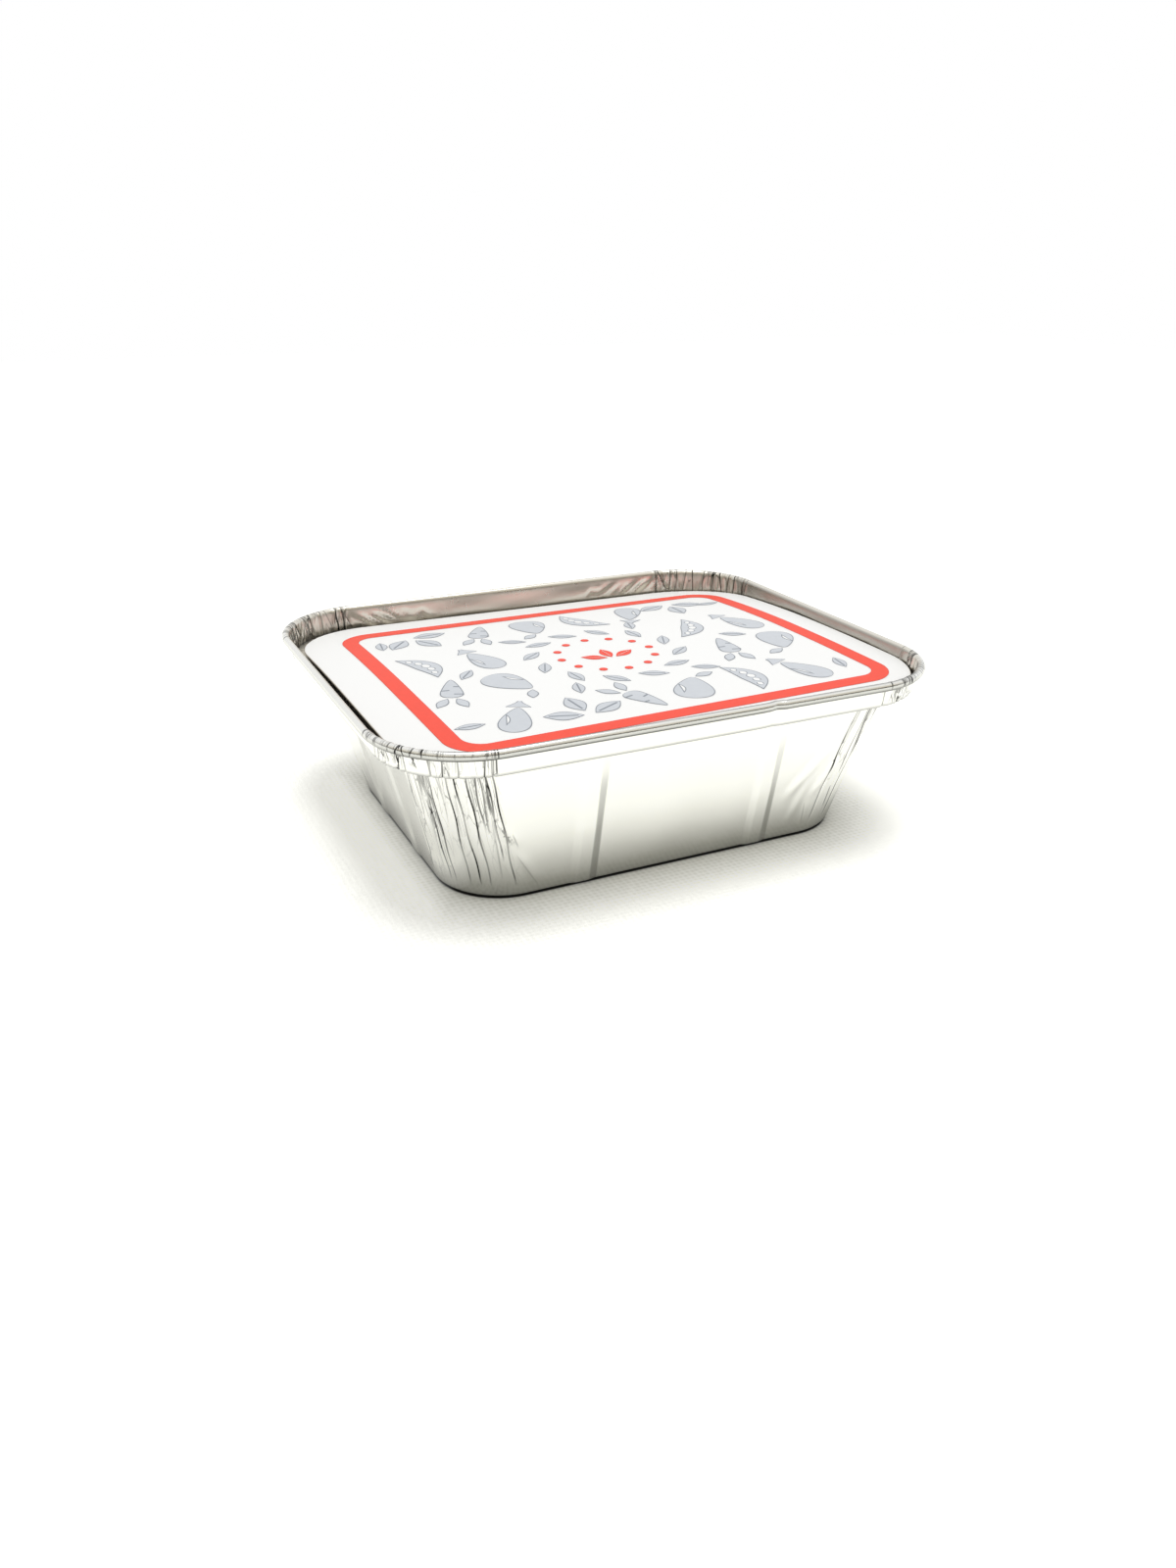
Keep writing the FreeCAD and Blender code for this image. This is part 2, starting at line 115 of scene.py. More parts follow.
def folded_path(keys, radii, counts, bend_count=4):
    """Straight stretches between keys, the inner keys rounded by parabolas as deep as arcs of their radii."""
    blocks = []
    start = keys[0]
    for number in range(1, len(keys) - 1):
        key = keys[number]
        before = in_section(key) - in_section(keys[number - 1])
        after = in_section(keys[number + 1]) - in_section(key)
        turn = abs(math.atan2(before[0] * after[1] - before[1] * after[0], before @ after))
        setback = radii[number - 1] * math.tan(turn / 2)
        entry = key + (keys[number - 1] - key) * setback / np.linalg.norm(before)
        leave = key + (keys[number + 1] - key) * setback / np.linalg.norm(after)
        blocks.append(stretch(start, entry, counts[number - 1]))
        if setback > 0:
            share = np.linspace(0, 1, bend_count, endpoint=False)[:, None]
            blocks.append((1 - share) ** 2 * entry + 2 * share * (1 - share) * key + share ** 2 * leave)
        start = leave
    blocks.append(stretch(start, keys[-1], counts[-1]))
    return np.concatenate(blocks)


def rolled_edge(count=13):
    """Ellipse of the rolled edge, from its inner side over the top and under to three eighths past it."""
    radius = BEAD / 2 - FOIL
    angles = np.radians(np.linspace(180, -135, count + 1))
    rows = []
    for angle in angles:
        outward = BEAD_HALF * (math.cos(angle) - 1) - FOIL
        pleat = max(0.0, (math.degrees(angle) - 60) / 120) * 0.6
        level = HEIGHT - BEAD / 2 + radius * math.sin(angle)
        rows.append(key_row(RIM + outward, level, pleat=pleat, dent=1.0))
    return np.array(rows)


def outer_section():
    """Rows of the skin that faces out and down, from the base's middle to the roll's tip."""
    roll = rolled_edge()
    keys = [
        key_row(BASE * 0.04, 0.0),
        key_row(BASE, 0.0, rib=0.6),
        key_row(BASE + 0.42 * (MOUTH - BASE), 0.42 * LEDGE_LEVEL, pleat=0.45, rib=1.0),
        key_row(MOUTH, LEDGE_LEVEL, pleat=0.9, rib=0.6),
        key_row(LEDGE, LEDGE_LEVEL, pleat=1.0, dent=0.5),
        roll[0],
    ]
    radii = (2.0, 0.0, 0.5, 0.35)
    path = folded_path(keys, radii, counts=(3, 12, 22, 2, 9))
    return np.concatenate([path, roll])


def offset_rows(rows, distance):
    """The same rows moved square to the section, to the food's side."""
    place = np.stack([(rows[:, 0] + rows[:, 1]) / 2, rows[:, 3]], 1)
    run = np.gradient(place, axis=0)
    run /= np.linalg.norm(run, axis=1)[:, None]
    moved = rows.copy()
    moved[:, 0:3] -= distance * run[:, 1:2]
    moved[:, 3] += distance * run[:, 0]
    return moved


LEDGE_ROW = -25  # the ledge's fold, counted from the roll's tip
CORNER_MARK = 999  # place of the columns that are in a corner, not on a wall


class Plan:
    """Columns right round the tray, anticlockwise from the front end of the right-hand wall.

    Arrays run rows by columns. quarter is 0 to 3 for right, back, left and front, with the corner after
    each. place is the distance along a straight wall from its middle, turn is the angle through a corner in
    degrees, run is the distance right round from the first column.
    """

    CORNER_COLUMNS = 88

    def __init__(self, rows):
        self.rows = rows
        parts = []
        for quarter in range(4):
            parts.append(self.side(quarter))
            parts.append(self.corner(quarter))
        names = ("x", "y", "nx", "ny", "quarter", "place", "turn")
        for name, values in zip(names, zip(*parts)):
            setattr(self, name, np.concatenate(values, axis=1))
        self.radius = rows[:, 2:3] + 0 * self.x
        self.level = rows[:, 3:4]
        self.in_corner = self.place == CORNER_MARK
        step = np.hypot(np.roll(self.x, -1, 1) - self.x, np.roll(self.y, -1, 1) - self.y)
        self.run = np.cumsum(step, axis=1) - step
        self.length = step.sum(axis=1)[:, None]

    def stations(self, quarter):
        """Places along a straight wall: fixed ones by the ribs and the dent, then shares of the rest."""
        rib = RIB_PLACES[quarter % 2]
        limit = rib + RIB_FOOT + 1.8
        edges = [rib + side * edge for side in (-1, 1)
                 for edge in (RIB_FOOT + 0.25, RIB_FOOT, RIB_FOOT - 0.3,
                              RIB_CREST + 0.3, RIB_CREST, RIB_CREST - 0.25)]
        kink = DENT_PLACE + np.array([-1.9, 0.0, 1.0]) if quarter % 2 else []
        fixed = np.concatenate([np.arange(1.5, limit, 3.1), edges, kink])
        fixed = np.sort(np.concatenate([-fixed, fixed]))
        share = np.linspace(0, 1, 20)[1:-1]
        return limit, fixed, share

    def side(self, quarter):
        """Straight wall: point at reach from the middle and place along it."""
        rows = self.rows
        limit, fixed, share = self.stations(quarter)
        reach = rows[:, 1:2] if quarter % 2 else rows[:, 0:1]
        end = (rows[:, 0:1] if quarter % 2 else rows[:, 1:2]) - rows[:, 2:3]
        kept = np.minimum(1.0, end / (limit + 3.0))
        rest = limit * kept + share * (end - limit * kept)
        place = np.concatenate([-rest[:, ::-1], fixed * kept, rest], axis=1)
        angle = math.radians(90 * quarter)
        nx = math.cos(angle) + 0 * place
        ny = math.sin(angle) + 0 * place
        x = nx * reach - ny * place
        y = ny * reach + nx * place
        return x, y, nx, ny, quarter + 0 * place, place, 0 * place

    def corner(self, quarter):
        """Corner: point on an arc of the row's radius, with columns denser than on the walls."""
        rows = self.rows
        turn = np.linspace(0, 90, self.CORNER_COLUMNS)[None, :] + 0 * rows[:, 0:1]
        angle = np.radians(90 * quarter + turn)
        x_sign = 1 if quarter in (0, 3) else -1
        y_sign = 1 if quarter in (0, 1) else -1
        nx, ny = np.cos(angle), np.sin(angle)
        x = x_sign * (rows[:, 0:1] - rows[:, 2:3]) + nx * rows[:, 2:3]
        y = y_sign * (rows[:, 1:2] - rows[:, 2:3]) + ny * rows[:, 2:3]
        return x, y, nx, ny, quarter + 0 * turn, CORNER_MARK + 0 * turn, turn

    def from_middle(self, quarter):
        """Distance round the tray from the middle of one wall, on every row."""
        middle = np.argmin(np.abs(self.place[0]) + 9 * CORNER_MARK * (self.quarter[0] != quarter))
        ahead = self.run - self.run[:, middle:middle + 1] + self.place[:, middle:middle + 1]
        half = self.length / 2
        return (ahead + half) % self.length - half


def smooth(share):
    """Share from 0 to 1 with level ends."""
    share = np.clip(share, 0, 1)
    return share * share * (3 - 2 * share)


def ribs(plan):
    """Ribs pressed outwards: flat crest, sloping flanks."""
    depth = 0 * plan.x
    for quarter in range(4):
        for side in (-1, 1):
            off = np.abs(plan.place - side * RIB_PLACES[quarter % 2])
            crest = np.clip((RIB_FOOT - off) / (RIB_FOOT - RIB_CREST), 0, 1)
            depth += crest * (plan.quarter == quarter)
    return RIB_DEPTH * plan.rows[:, 5:6] * depth


def groove(off, width):
    """V groove of a given full width: 1 in the middle, 0 past the edges, with a small lip beside it."""
    inside = np.clip(1 - np.abs(off) / (width / 2), 0, 1)
    lip = np.exp(-((np.abs(off) - 0.62 * width) / (0.16 * width)) ** 2)
    return inside - 0.12 * lip


class Lines:
    """Thin lines of painted shade: for every point the signed distance to the nearest one, and that one's
    strength.
    """

    def __init__(self, plan):
        self.off = 9.0 + 0 * plan.x
        self.strength = 0 * plan.x

    def add(self, off, strength):
        """Takes in one more line where it is nearer than those before it, a strong one from further away."""
        nearer = np.abs(off) - 0.35 * strength < np.abs(self.off) - 0.35 * self.strength
        nearer &= strength > 0.02
        self.off = np.where(nearer, off, self.off)
        self.strength = np.where(nearer, strength, self.strength)

    def fading(self):
        """Strength, gone halfway to the next line so that the change of sign there doesn't show."""
        return self.strength * np.clip((0.75 - np.abs(self.off)) / 0.3, 0, 1)


def main_gathers(plan, quarter, here, depth, lines, rng):
    """Gathers of the pressed blank in one corner: V grooves that sway, and close on themselves in places."""
    level = plan.level
    share = plan.rows[:, 4:5]
    for pleat in range(PLEATS):
        uneven = 0.27 * math.sin(2.4 * pleat + 1.9 * quarter)
        middle = 90 * (pleat + 0.5 + uneven) / PLEATS
        full = PLEAT_DEPTH * (0.78 + 0.22 * math.cos(1.7 * pleat + 2.3 * quarter))
        sway = rng.uniform(-1, 1, 6)
        turn = middle + sway[0] * np.sin(level / 8 + 3 * sway[1])
        turn = turn + 0.5 * np.sin(level / 2.3 + 6 * sway[2])
        off = np.radians(plan.turn - turn) * plan.radius
        depth += here * full * share * groove(off, PLEAT_WIDTH)
        closed = 0.5 + 0.5 * np.sin(level / (4.5 + 1.5 * sway[3]) + 6 * sway[4])
        foot_level = 3 + 11 * (sway[5] + 1) * (pleat % 3 == 1)
        long_enough = smooth((level - foot_level) / 4)
        # Painted shade line along the gather, darker where it closes
        lines.add(off, here * long_enough * (0.5 + 0.5 * closed))


def wall_creases(plan, here, depth, lines, rng):
    """Lesser creases between one corner's gathers, from the ledge down to anywhere on the wall."""
    level = plan.level
    share = plan.rows[:, 4:5]
    for _ in range(FINE_CREASES):
        middle, lean, foot, width, strength, wave = rng.uniform(0, 1, 6)
        turn = 90 * middle + 9 * (lean - 0.5) * (level / LEDGE_LEVEL - 0.6)
        turn = turn + 0.9 * np.sin(level / 3 + 6 * wave)
        off = np.radians(plan.turn - turn) * plan.radius
        foot_level = 14 + 20 * foot
        reach = smooth((level - foot_level) / 7) * (share > 0)
        depth += here * (0.06 + 0.14 * strength) * reach * share * groove(off, 0.9 + 0.5 * width)
        # Painted shade line along the crease, on the wall only
        lines.add(off, here * (0.15 + 0.75 * strength) * reach * (level < LEDGE_LEVEL + 0.1))


def band_creases(plan, here, depth, lines, rng):
    """Short creases across one corner of the upstand and the roll, most of them faint."""
    level = plan.level
    share = plan.rows[:, 4:5]
    for _ in range(BAND_CREASES):
        middle, lean, start, width, strength = rng.uniform(0, 1, 5)
        turn = 90 * middle + 3 * (lean - 0.5) * (level - 41)
        off = np.radians(plan.turn - turn) * plan.radius
        on_band = (level > LEDGE_LEVEL + 0.2) * smooth((level - LEDGE_LEVEL + 1 - 3 * start) / 1.5)
        depth += here * (0.1 + 0.25 * strength) * on_band * share * groove(off, 0.9 + 0.7 * width)
        # Painted shade line along the crease, on the upstand
        lines.add(off, here * (0.1 + 0.9 * strength ** 2) * on_band)


def gathers(plan, rng):
    """How far the foil goes in at the gathered corners, and the lines of painted shade where folds close up.
    """
    depth = 0 * plan.x
    lines = Lines(plan)
    for quarter in range(4):
        here = (plan.quarter == quarter) & plan.in_corner
        here = here * smooth(plan.turn / 3) * smooth((90 - plan.turn) / 3)
        main_gathers(plan, quarter, here, depth, lines, rng)
        wall_creases(plan, here, depth, lines, rng)
        band_creases(plan, here, depth, lines, rng)
    return depth, lines


# Folds at a wall's end: distance before WALL_ENDS and level where each one starts, the same where it ends,
# width, height and darkness of its painted shade line
LONG_FOLDS = (
    (7.5, 31.2, 24.5, 11.2, 1.5, 0.55, 0.0),
    (7.1, 23.9, 15.4, 10.9, 1.1, 0.4, 0.0),
    (8.4, 22.6, 10.4, 17.3, 0.8, 0.25, 0.6),
    (7.9, 14.3, 8.8, 6.1, 0.8, 0.25, 0.6),
    (15.4, 10.9, 15.1, 2.4, 1.0, 0.25, 0.2),
    (15.0, 21.0, 21.0, 3.0, 1.3, 0.25, 0.0),
)
SHORT_FOLDS = (
    (3.1, 34.7, 3.4, 27.2, 0.8, 0.2, 0.4),
    (6.3, 22.2, 10.6, 15.3, 0.8, 0.3, 0.5),
    (9.7, 19.2, 12.0, 14.2, 0.7, 0.2, 0.3),
    (10.7, 13.7, 18.5, 0.8, 1.1, 0.3, 0.2),
    (4.1, 27.1, 9.0, 4.0, 1.2, 0.35, 0.3),
)
WALL_ENDS = (44.0, 53.0)  # from the middle of a short and of a long wall


def wall_fold(plan, quarter, start, end, width):
    """Fold along a line on a wall: how far its middle is, in widths, and how much of it there is.

    start and end are distance from the wall's middle and level.
    """
    across = plan.from_middle(quarter) - start[0]
    up = plan.level - start[1]
    run = np.array([end[0] - start[0], end[1] - start[1]])
    length = np.hypot(*run)
    along = (across * run[0] + up * run[1]) / length ** 2
    off = (across * run[1] - up * run[0]) / length / width
    fade = smooth(along / 0.35) * smooth((1 - along) / 0.35)
    on_wall = smooth((plan.level - 0.8) / 1.5) * smooth((LEDGE_LEVEL - plan.level) / 2)
    return off, fade * on_wall


def wall_folds(plan, lines, rng):
    """Folds that fan out on each wall from the top of its corners to the base: an S across each one.

    The front wall's lie as measured, and the others are moved about.
    """
    shift = 0 * plan.x
    for quarter in range(4):
        end = WALL_ENDS[quarter % 2]
        for side in (-1, 1):
            table = LONG_FOLDS if quarter % 2 == 1 and side == 1 else SHORT_FOLDS
            for top, high, foot, low, width, height, dark in table:
                jitter = rng.uniform(-1, 1, 4) * (0.1 if quarter == 3 else 1.0)
                start = (side * (end - top + 1.5 * jitter[0]), high + 2 * jitter[1])
                finish = (side * (end - foot + 2 * jitter[2]), low)
                off, here = wall_fold(plan, quarter, start, finish, width)
                shift += height * (0.8 + 0.2 * jitter[3]) * here * np.exp(-off ** 2) * (0.45 - off)
                # Painted shade line along the fold, as dark as its row in the table says
                lines.add(off * width, dark * here)
    return shift


BAND_FOLD_ENDS = (33.0, 46.0)  # from the middle of a short and of a long wall to the last fold
BAND_FOLD_PITCH = 4.6
BAND_FOLD_SIZES = (0.16, 1.0, 0.16, 0.16)  # height of the folds on right, back, left and front


def band_waves(plan, rng):
    """Unevenness of the upstand: slow waves, and soft slanting folds towards the ends of the walls."""
    level = plan.level
    on_band = smooth((level - LEDGE_LEVEL - 0.3) / 2) * smooth((HEIGHT - 1.6 - level) / 2)
    shift = 0 * plan.x
    for number in range(5):
        phase = rng.uniform(0, 2 * math.pi)
        waves = 5 + 3 * number
        shift += 0.04 * np.sin(2 * math.pi * waves * plan.run / plan.length + phase + 0.1 * level)
    for quarter in range(4):
        off_middle = plan.from_middle(quarter)
        end = BAND_FOLD_ENDS[quarter % 2]
        size = BAND_FOLD_SIZES[quarter]
        for number in range(5):
            for side in (-1, 1):
                jitter = rng.uniform(-1, 1, 4)
                slant = (1.2 + 0.3 * jitter[1]) * (level - 41)
                where = end - BAND_FOLD_PITCH * number + 1.2 * jitter[0] + slant
                off = (side * off_middle - where) / (1.5 + 0.3 * jitter[2])
                strength = size * (1 - 0.14 * number) * (0.8 + 0.2 * jitter[3])
                shift += strength * np.exp(-off ** 2) * (0.4 - off)
    return shift * on_band


def wall_waves(plan, rng):
    """Slow unevenness of the pressed walls."""
    level = plan.level
    on_wall = smooth((level - 2) / 8) * smooth((LEDGE_LEVEL - level) / 5)
    shift = 0 * plan.x
    for number in range(6):
        phase, slant = rng.uniform(0, 2 * math.pi), rng.uniform(-1, 1)
        waves = 6 + 3 * number
        shift += 0.035 * np.sin(2 * math.pi * waves * plan.run / plan.length + phase + slant * level / 7)
    return shift * on_wall


def dent(plan):
    """One kink in the front edge, V-shaped in plan."""
    off = np.abs(plan.place - DENT_PLACE) / DENT_REACH
    return DENT_DEPTH * plan.rows[:, 6:7] * np.clip(1 - off, 0, 1) * (plan.quarter == 3)


def outer_shade(plan):
    """Painted shade outside: the ledge's fold, the nip under the rolled edge, the base, one flank of each
    rib.
    """
    level = plan.level
    reach = plan.rows[:, 0:1]
    fold = np.exp(-((level - LEDGE_LEVEL - 0.15) / 0.3) ** 2) * (reach > LEDGE[0] - 0.3)
    nip = smooth((level - HEIGHT + BEAD + 0.15) / 0.3) * (reach < RIM[0] - 1.6) * (level < HEIGHT - 0.9)
    base = smooth((0.8 - level) / 0.4)
    # Painted reflection of the shaded floor beside the wall, on one flank of each rib
    flank = 0 * plan.x
    for quarter in range(4):
        for side in (-1, 1):
            off = plan.place - side * RIB_PLACES[quarter % 2]
            inside = np.clip(np.minimum(off - RIB_CREST, RIB_FOOT - off) / 0.25 + 1, 0, 1)
            flank += (0.22 - 0.05 * side) * inside * (plan.quarter == quarter)
    flank *= smooth((LEDGE_LEVEL - 4 - level) / 8)
    return np.maximum(0.55 * fold + 0.8 * nip + 0.95 * base, flank)


def inner_shade(plan):
    """Painted shade on the food's side, which is also the outside of the rolled edge.

    A thin painted shadow line follows the upstand's foot, and the lid's edge on the right, where the upstand
    above the lid is also painted darker as a reflection of the dim room. On the left the lid has been pushed
    away, and the open foot is painted black as shadow. The roll is painted dark underneath as shade, and
    along the lid in front as the lid's shadow.
    """
    level = plan.level
    reach = plan.rows[:, 0:1]
    inside = reach < RIM[0] - 1.7
    foot = 0.85 * np.exp(-((level - LEDGE_LEVEL - 0.25) / 0.25) ** 2) * (reach > LEDGE[0] - 1)
    left = smooth((-plan.x - MOUTH[0]) / 4) * smooth((LEDGE[1] - 14 - plan.y) / 8)
    wedge = 0.96 * smooth((LEDGE_LEVEL + 2.8 - level) / 1.0) * left
    right = smooth((plan.x - LEDGE[0] + 1) / 1.5) * (level > LEDGE_LEVEL) * inside
    lid_side = on_lid(CARD_PLAN[0] + 0 * plan.y, np.clip(plan.y, -CARD_PLAN[1], CARD_PLAN[1]))[..., 2]
    right = right * np.maximum(0.4, 0.95 * smooth((lid_side + 0.1 - level) / 0.6))
    under = smooth((HEIGHT - 0.6 - level) / 0.5) * (0.4 + 0.55 * smooth((HEIGHT - 1.5 - level) / 0.4))
    front = smooth((-plan.y - LEDGE[1] + 4) / 3) * (level > HEIGHT - 0.8)
    roll = np.maximum(under, 0.95 * front * smooth((RIM[0] - 0.6 - reach) / 0.5)) * ~inside
    return np.maximum.reduce([foot + 0 * right, wedge, right, roll])


def crinkle_mask(plan):
    """Where the sheet is crushed into fine creases, painted as lines of shade: 1 high up in the corners, less
    lower down.
    """
    level = plan.level
    height = 0.25 + 0.75 * smooth((level - 8) / 24)
    across = smooth((plan.turn + 4) / 14) * smooth((94 - plan.turn) / 14)
    return plan.in_corner * across * height * (level > 1.5)


def closed_mesh(name, grid, attributes):
    """Mesh from rows of a grid that closes round its columns, with a pole at each end.

    attributes are arrays of the same rows and columns, kept on the points.
    """
    rows, columns = grid.shape[:2]
    points = np.concatenate([grid.reshape(-1, 3), grid[:1].mean(axis=1), grid[-1:].mean(axis=1)]) * MM
    index = np.arange(rows * columns).reshape(rows, columns)
    after = np.roll(index, -1, axis=1)
    quads = np.stack([index[:-1], after[:-1], after[1:], index[1:]], axis=-1).reshape(-1, 4)
    first = np.stack([after[0], index[0], np.full(columns, rows * columns)], axis=-1)
    last = np.stack([index[-1], after[-1], np.full(columns, rows * columns + 1)], axis=-1)
    mesh = bpy.data.meshes.new(name)
    mesh.from_pydata(points.tolist(), [], quads.tolist() + first.tolist() + last.tolist())
    for title, values in attributes.items():
        ends = [values[0].mean(), values[-1].mean()]
        layer = mesh.attributes.new(title, "FLOAT", "POINT")
        layer.data.foreach_set("value", np.concatenate([values.ravel(), ends]).astype(np.float32))
    mesh.shade_smooth()
    mesh.validate()
    return mesh


def add_object(name, mesh, material):
    """Object in the scene with one material."""
    piece = bpy.data.objects.new(name, mesh)
    bpy.context.scene.collection.objects.link(piece)
    mesh.materials.append(material)
    return piece


def foil_tray_mesh():
    """The sheet: outer skin from the base's middle to the roll's tip, then the inner skin back."""
    outer_rows = outer_section()
    inner_rows = offset_rows(outer_rows, FOIL)
    inner_rows[0, 0:3] = outer_rows[0, 0:3]
    skins = []
    for rows, shade in ((outer_rows, outer_shade), (inner_rows, inner_shade)):
        rng = np.random.default_rng(11)
        plan = Plan(rows)
        depth, lines = gathers(plan, rng)
        shift = ribs(plan) - depth - dent(plan)
        shift += wall_folds(plan, lines, rng) + band_waves(plan, rng) + wall_waves(plan, rng)
        x = plan.x + plan.nx * shift
        y = plan.y + plan.ny * shift
        food_side = smooth((RIM[0] - BEAD_HALF - rows[:, 0:1]) / 0.4) * (rows is inner_rows)
        skins.append({
            "grid": np.stack([x, y, rows[:, 3:4] + 0 * x], axis=-1),
            # Painted shade, and the painted shade lines along closed folds, for the foil's material
            "shade": np.clip(shade(plan), 0, 1),
            "line_off": lines.off,
            "line": lines.fading(),
            "satin": food_side + 0 * x,
            "crinkle": crinkle_mask(plan),
            "around": plan.run[LEDGE_ROW][None, :] + 0 * x,
        })
    sheet = {name: np.concatenate([skins[0][name], skins[1][name][::-1]]) for name in skins[0]}
    return closed_mesh("foil_tray_sheet", sheet.pop("grid"), sheet)


# The card lid and its print


def on_lid(x, y, above=0.0):
    """Points on the lid's top face from places in its plan.

    The card is a vault over its short side. Its front edge stands up, and it is twisted so that the right
    end is up in front and down at the back.
    """
    across = x / CARD_PLAN[0]
    along = y / CARD_PLAN[1]
    vault = CARD_CROWN - (VAULT - np.sqrt(VAULT ** 2 - y ** 2))
    front = FRONT_UP * np.clip(-along, 0, 1) ** 2
    twist = RIGHT_UP * across * (1 - 1.2 * along - 1.1 * along ** 2)
    c, s = math.cos(LID_TURN), math.sin(LID_TURN)
    return np.stack([
        LID_RIGHT + c * x - s * y,
        -LID_FRONT + s * x + c * y,
        vault + LID_UP + front + twist + above,
    ], -1)


def rounded_outline(plan, count=48):
    """Points round a rounded rectangle, anticlockwise: count on each corner, walls between them."""
    half_length, half_width, corner = plan
    points = []
    for quarter, (x_sign, y_sign) in enumerate(((1, 1), (-1, 1), (-1, -1), (1, -1))):
        angle = np.radians(90 * quarter + np.linspace(0, 90, count))
        x = x_sign * (half_length - corner) + corner * np.cos(angle)
        y = y_sign * (half_width - corner) + corner * np.sin(angle)
        points.append(np.stack([x, y], -1))
    outline = []
    for arc, after in zip(points, points[1:] + points[:1]):
        share = np.linspace(0, 1, count + 1)[1:-1, None]
        outline += [arc, arc[-1] + share * (after[0] - arc[-1])]
    return np.concatenate(outline)


def card_mesh():
    """The lid: rings of its outline grown from the middle, over the edge and back underneath.

    Each step of the path is a share of the outline, a depth below the top face, and how far the card is cut.
    """
    rings = np.concatenate([np.linspace(0.03, 0.97, 26), [0.985, 0.995]])
    outline = rounded_outline(CARD_PLAN)
    size = CARD_PLAN[:2].mean()
    ease = EASED / size
    path = [(share, 0.0, 0.0) for share in rings]
    path += [(1 - ease, 0.0, 0.3)]
    path += [(1.0, drop, 1.0) for drop in (EASED, CARD / 2, CARD - EASED)]
    path += [(1 - ease, CARD, 0.6)]
    path += [(share, CARD, 0.0) for share in rings[::-1]]
    grid = []
    cut = []
    for share, drop, edge in path:
        ring = outline * share
        grid.append(on_lid(ring[:, 0], ring[:, 1], -drop))
        cut.append(np.full(len(ring), edge))
    return closed_mesh("card_lid_board", np.array(grid), {"cut": np.array(cut)})


def sheet_mesh(name, patches):
    """Thin ink patches side by side. A patch is a grid of x, y and height above the card, and its tones."""
    points, faces, tones, edges = [], [], [], []
    for grid, tone, edge in patches:
        rows, columns = grid.shape[:2]
        first = sum(len(block) for block in points)
        index = first + np.arange(rows * columns).reshape(rows, columns)
        corners = [index[:-1, :-1], index[:-1, 1:], index[1:, 1:], index[1:, :-1]]
        faces.append(np.stack(corners, -1).reshape(-1, 4))
        x = grid[..., 0] + PRINT_RIGHT
        y = grid[..., 1] - PRINT_FRONT
        points.append(on_lid(x, y, grid[..., 2]).reshape(-1, 3))
        tones.append((tone + 0 * x).ravel())
        edges.append((edge + 0 * x).ravel())
    mesh = bpy.data.meshes.new(name)
    mesh.from_pydata((np.concatenate(points) * MM).tolist(), [], np.concatenate(faces).tolist())
    for title, values in (("tone", tones), ("to_edge", edges)):
        layer = mesh.attributes.new(title, "FLOAT", "POINT")
        layer.data.foreach_set("value", np.concatenate(values).astype(np.float32))
    mesh.validate()
    return mesh


def blade(line, half_width, tone=0.0, lift=0.0, across=4):
    """Patch between two edges: points on a centre line, each with a half width square to the line."""
    run = np.gradient(line, axis=0)
    run /= np.maximum(np.linalg.norm(run, axis=1), 1e-9)[:, None]
    square = np.stack([-run[:, 1], run[:, 0]], -1)
    share = np.linspace(-1, 1, 2 * across + 1)
    xy = line[:, None, :] + square[:, None, :] * (share[None, :, None] * half_width[:, None, None])
    edge = (1 - np.abs(share))[None, :] * half_width[:, None]
    grid = np.concatenate([xy, np.full(xy.shape[:2] + (1,), INK + lift)], -1)
    return grid, np.full(xy.shape[:2], tone), edge


def turned(patch, angle, x=0.0, y=0.0, size=1.0):
    """Patch scaled, turned by an angle in degrees and moved."""
    grid, tone, edge = patch
    c = math.cos(math.radians(angle)) * size
    s = math.sin(math.radians(angle)) * size
    grid = grid.copy()
    u, v = grid[..., 0].copy(), grid[..., 1].copy()
    grid[..., 0] = x + c * u - s * v
    grid[..., 1] = y + s * u + c * v
    return grid, tone, edge


def leaf(length, width, bend=0.0, tone=0.0, lift=0.0):
    """Pointed leaf along Y: half width follows a sine, the centre line bends by another."""
    share = np.linspace(0, 1, 25)
    line = np.stack([bend * np.sin(math.pi * share), length * share], -1)
    return blade(line, width / 2 * np.sin(math.pi * share), tone, lift)


def spine(length, width, bend=0.0):
    """White line along a leaf's middle."""
    share = np.linspace(0.14, 0.86, 15)
    line = np.stack([bend * np.sin(math.pi * share), length * share], -1)
    return blade(line, np.full(len(share), width / 2), 1.0, 0.02, across=1)


def pear(height, width):
    """Fruit along Y: an ellipse whose half width swells towards its foot."""
    turn = np.linspace(0, math.pi, 33)
    line = np.stack([0 * turn, -height / 2 * np.cos(turn)], -1)
    return blade(line, width / 2 * np.sin(turn) * (0.75 + 0.33 * np.cos(turn)))


def root(length, width):
    """Tapering root with its tip down and round shoulders."""
    share = 0.5 - 0.5 * np.cos(np.linspace(0, math.pi, 33))
    line = np.stack([0 * share, length * (share - 1)], -1)
    half = width / 2 * share ** 0.6 * np.sqrt(np.clip(1 - share ** 9, 0, 1))
    return blade(line, half)


def spot(x, y, radius, tone=0.0, lift=0.0):
    """Round spot: half width follows a half circle."""
    turn = np.linspace(0, math.pi, 17)
    line = np.stack([x + 0 * turn, y - radius * np.cos(turn)], -1)
    return blade(line, radius * np.sin(turn), tone, lift, across=4)


def white_line(points, width=0.5):
    """White line left between fields of print, through a few points."""
    points = np.array(points, float)
    share = np.linspace(0, 1, 9)[:, None]
    legs = [first + share * (last - first) for first, last in zip(points, points[1:])]
    line = np.concatenate([leg[:-1] for leg in legs] + [points[-1:]])
    return blade(line, np.full(len(line), width / 2), 1.0, 0.02, across=1)


